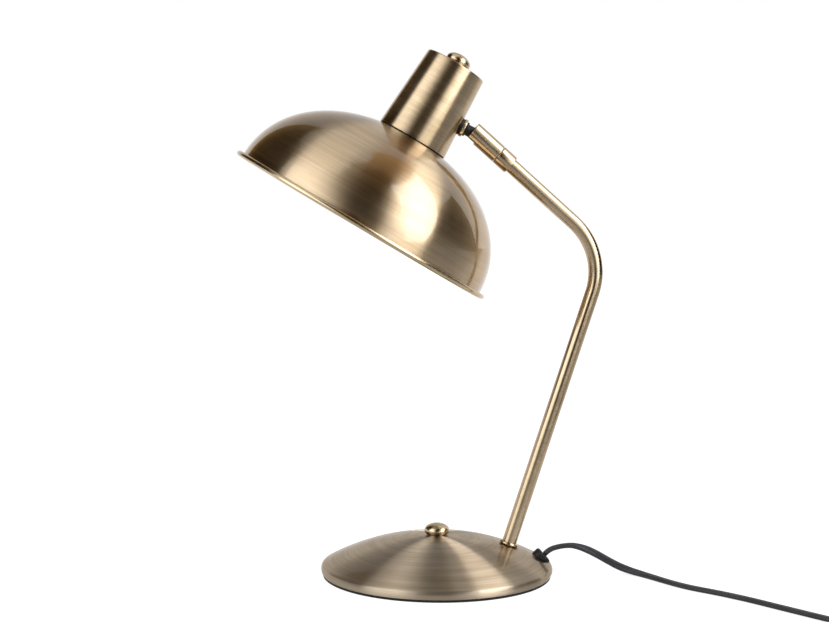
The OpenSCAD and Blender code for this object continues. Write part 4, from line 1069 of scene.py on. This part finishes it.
# %% [markdown]
# ## The background
#
# The picture's background is pure white, but a world that bright would wash the lamp out. The
# world is therefore white for what the camera sees, also in a reflection or through glass, and
# less than half as bright as a light.

# %% White world
WORLD_LIGHT = 0.45
world = bpy.data.worlds.new("studio")
bpy.context.scene.world = world
world.use_nodes = True
world.node_tree.nodes.clear()
rays = add(world, "ShaderNodeLightPath").outputs
seen = add(world, "ShaderNodeMath", {0: rays["Is Camera Ray"], 1: rays["Is Glossy Ray"]},
           operation="MAXIMUM").outputs[0]
seen = add(world, "ShaderNodeMath", {0: seen, 1: rays["Is Transmission Ray"]},
           operation="MAXIMUM").outputs[0]
light = add(world, "ShaderNodeBackground", {"Color": linear("#ffffff"), "Strength": WORLD_LIGHT}).outputs[0]
white = add(world, "ShaderNodeBackground", {"Color": linear("#ffffff"), "Strength": 1.0}).outputs[0]
mix = add(world, "ShaderNodeMixShader", {0: seen, 1: light, 2: white}).outputs[0]
add(world, "ShaderNodeOutputWorld", {"Surface": mix})
bpy.context.scene.view_settings.view_transform = "Standard"
print("world:", WORLD_LIGHT, "as a light, 1.0 when seen")

# %% [markdown]
# ## Two soft lights
#
# One large light stands at each side of the camera, so the shadow on the paper stays faint and
# has no edge. They are placed by direction, as one would walk round the lamp with a stand.
# Reflections don't see them, because the next step gives the metal its own room to mirror.

# %% Softboxes
LAMP_MIDDLE = np.array([0.0, 0.0, 0.22])


def toward(azimuth, elevation):
    """Directions from azimuth, 0 to the front and growing to the right, and elevation: X is the
    sine of the azimuth and Y less its cosine, both times the cosine of the elevation."""
    a, e = np.radians(azimuth), np.radians(elevation)
    return np.stack([np.sin(a) * np.cos(e), -np.cos(a) * np.cos(e), np.sin(e)], -1)


def softbox(name, azimuth, elevation, distance, size, watts):
    """A square area light that looks at the lamp and that reflections don't see."""
    data = bpy.data.lights.new(name, "AREA")
    data.shape = "SQUARE"
    data.size = size
    data.energy = watts
    light = bpy.data.objects.new(name, data)
    z = toward(azimuth, elevation)
    x = np.cross((0, 0, 1), z)
    x /= np.linalg.norm(x)
    pose = np.eye(4)
    pose[:3, :3] = np.stack([x, np.cross(z, x), z], -1)
    pose[:3, 3] = LAMP_MIDDLE + distance * z
    light.matrix_world = Matrix(pose.tolist())
    light.visible_glossy = False
    bpy.context.scene.collection.objects.link(light)


softbox("softbox_left", -50, 38, 2.2, 1.2, 26)
softbox("softbox_right", 55, 35, 2.2, 1.2, 26)
print("soft lights:", len(bpy.data.lights))

# %% [markdown]
# ## What the metal sees
#
# Polished metal shows the room itself, so the room matters more than the lights. Each card
# below is a part of what the brass sees, given by its direction from the lamp. Two bright
# panels, each with a softer glow about it, stand left and right of the camera. The studio
# between and beside them is dark and brown, and the backdrop behind the lamp is pale.
#
# A card is a curved patch with a brightness at each of its points. The brightness is stored on
# the mesh as an attribute, which a shader can read, so a soft edge needs no picture.

# %% Cards for reflections
CARD_STEPS = 61, 41
FULL_HEIGHT = ((0, 1), (1, 1))
BROWN = "#ffcb8a"


def even(level):
    """The stops of a card that is as bright everywhere."""
    return [(0, level), (1, level)]


def card(name, corners, distance, across, upward=FULL_HEIGHT, colour="#ffffff"):
    """A panel seen only in reflections. Its corners are azimuth and elevation, from low left
    round to high left. Its brightness is read from stops of (share of the width, level), and
    is multiplied by stops of (share of the height, factor)."""
    low_left, low_right, high_right, high_left = np.array(corners, float)
    u, v = np.meshgrid(*(np.linspace(0, 1, n) for n in CARD_STEPS), indexing="ij")
    level = np.interp(u, *zip(*across)) * np.interp(v, *zip(*upward))
    u, v = u[..., None], v[..., None]
    spot = (low_left * (1 - u) + low_right * u) * (1 - v) + (high_left * (1 - u) + high_right * u) * v
    points = LAMP_MIDDLE + distance * toward(spot[..., 0], spot[..., 1])
    panel = grid_mesh(name, points, np.concatenate([u, v], -1))
    glow = panel.data.attributes.new("glow", "FLOAT", "POINT")
    glow.data.foreach_set("value", level.ravel())
    material = blank(name)
    strength = add(material, "ShaderNodeAttribute", attribute_name="glow").outputs["Fac"]
    light = add(material, "ShaderNodeEmission", {"Color": linear(colour), "Strength": strength}).outputs[0]
    add(material, "ShaderNodeOutputMaterial", {"Surface": light})
    panel.data.materials.append(material)
    panel.visible_camera = False
    panel.visible_diffuse = False
    panel.visible_shadow = False
    panel.visible_transmission = False


# The bright panel at the right and the glow round it, which grows away from the camera.
card("softbox_right_face", [(33, -12), (45, -12), (104, 50), (44, 50)], 2.1, even(4.8))
card("glow_right", [(0, -12), (44, -12), (106, 52), (42, 52)], 2.2,
     [(0, 0.2), (0.08, 0.8), (0.2, 1.7), (0.4, 2.8), (1, 3.2)], [(0, 1), (0.85, 1), (1, 0.6)])
# The panel at the left, which is wider and less bright.
card("softbox_left_face", [(-80, 5), (-25, 5), (-60, 49), (-80, 47)], 2.2, even(2.7))
card("glow_left", [(-89, -5), (-12, -5), (-12, 58), (-89, 58)], 2.3,
     [(0, 0.6), (0.15, 1.4), (0.3, 2.2), (0.55, 2.2), (0.75, 1.1), (0.9, 0.2), (1, 0)])
# The dark studio: round the camera, to the right, and behind the left panel.
card("dark_front", [(-16, -12), (62, -12), (62, 66), (-16, 66)], 2.6, even(0.02), colour=BROWN)
card("dark_right", [(50, -25), (118, -25), (118, 29), (50, 29)], 2.7, [(0, 0.02), (1, 0.04)],
     colour=BROWN)
card("dark_back_left", [(-148, 10), (-89, 10), (-89, 60), (-165, 60)], 2.5,
     [(0, 0.2), (0.2, 0.04), (1, 0.02)], colour=BROWN)
card("dim_back_left", [(-165, 60), (-80, 60), (-80, 70), (-165, 70)], 2.5,
     [(0, 0.5), (0.5, 0.3), (1, 0.8)], [(0, 0.6), (1, 2)])
# The pale backdrop behind the lamp, and what hangs above it.
card("backdrop", [(118, -2), (215, -2), (215, 62), (118, 62)], 2.9,
     [(0, 1.6), (0.3, 1.2), (0.6, 1), (1, 1)], [(0, 0.95), (0.25, 0.85), (0.5, 0.7), (0.75, 0.6), (1, 0.6)])
card("dim_top_right", [(0, 50), (118, 50), (118, 74), (0, 74)], 2.8,
     [(0, 0.2), (0.4, 0.35), (1, 0.9)], colour=BROWN)
card("ceiling", [(-180, 62), (180, 62), (180, 90), (-180, 90)], 3.0, even(1.0))
print("cards:", sum("glow" in mesh.attributes for mesh in bpy.data.meshes))
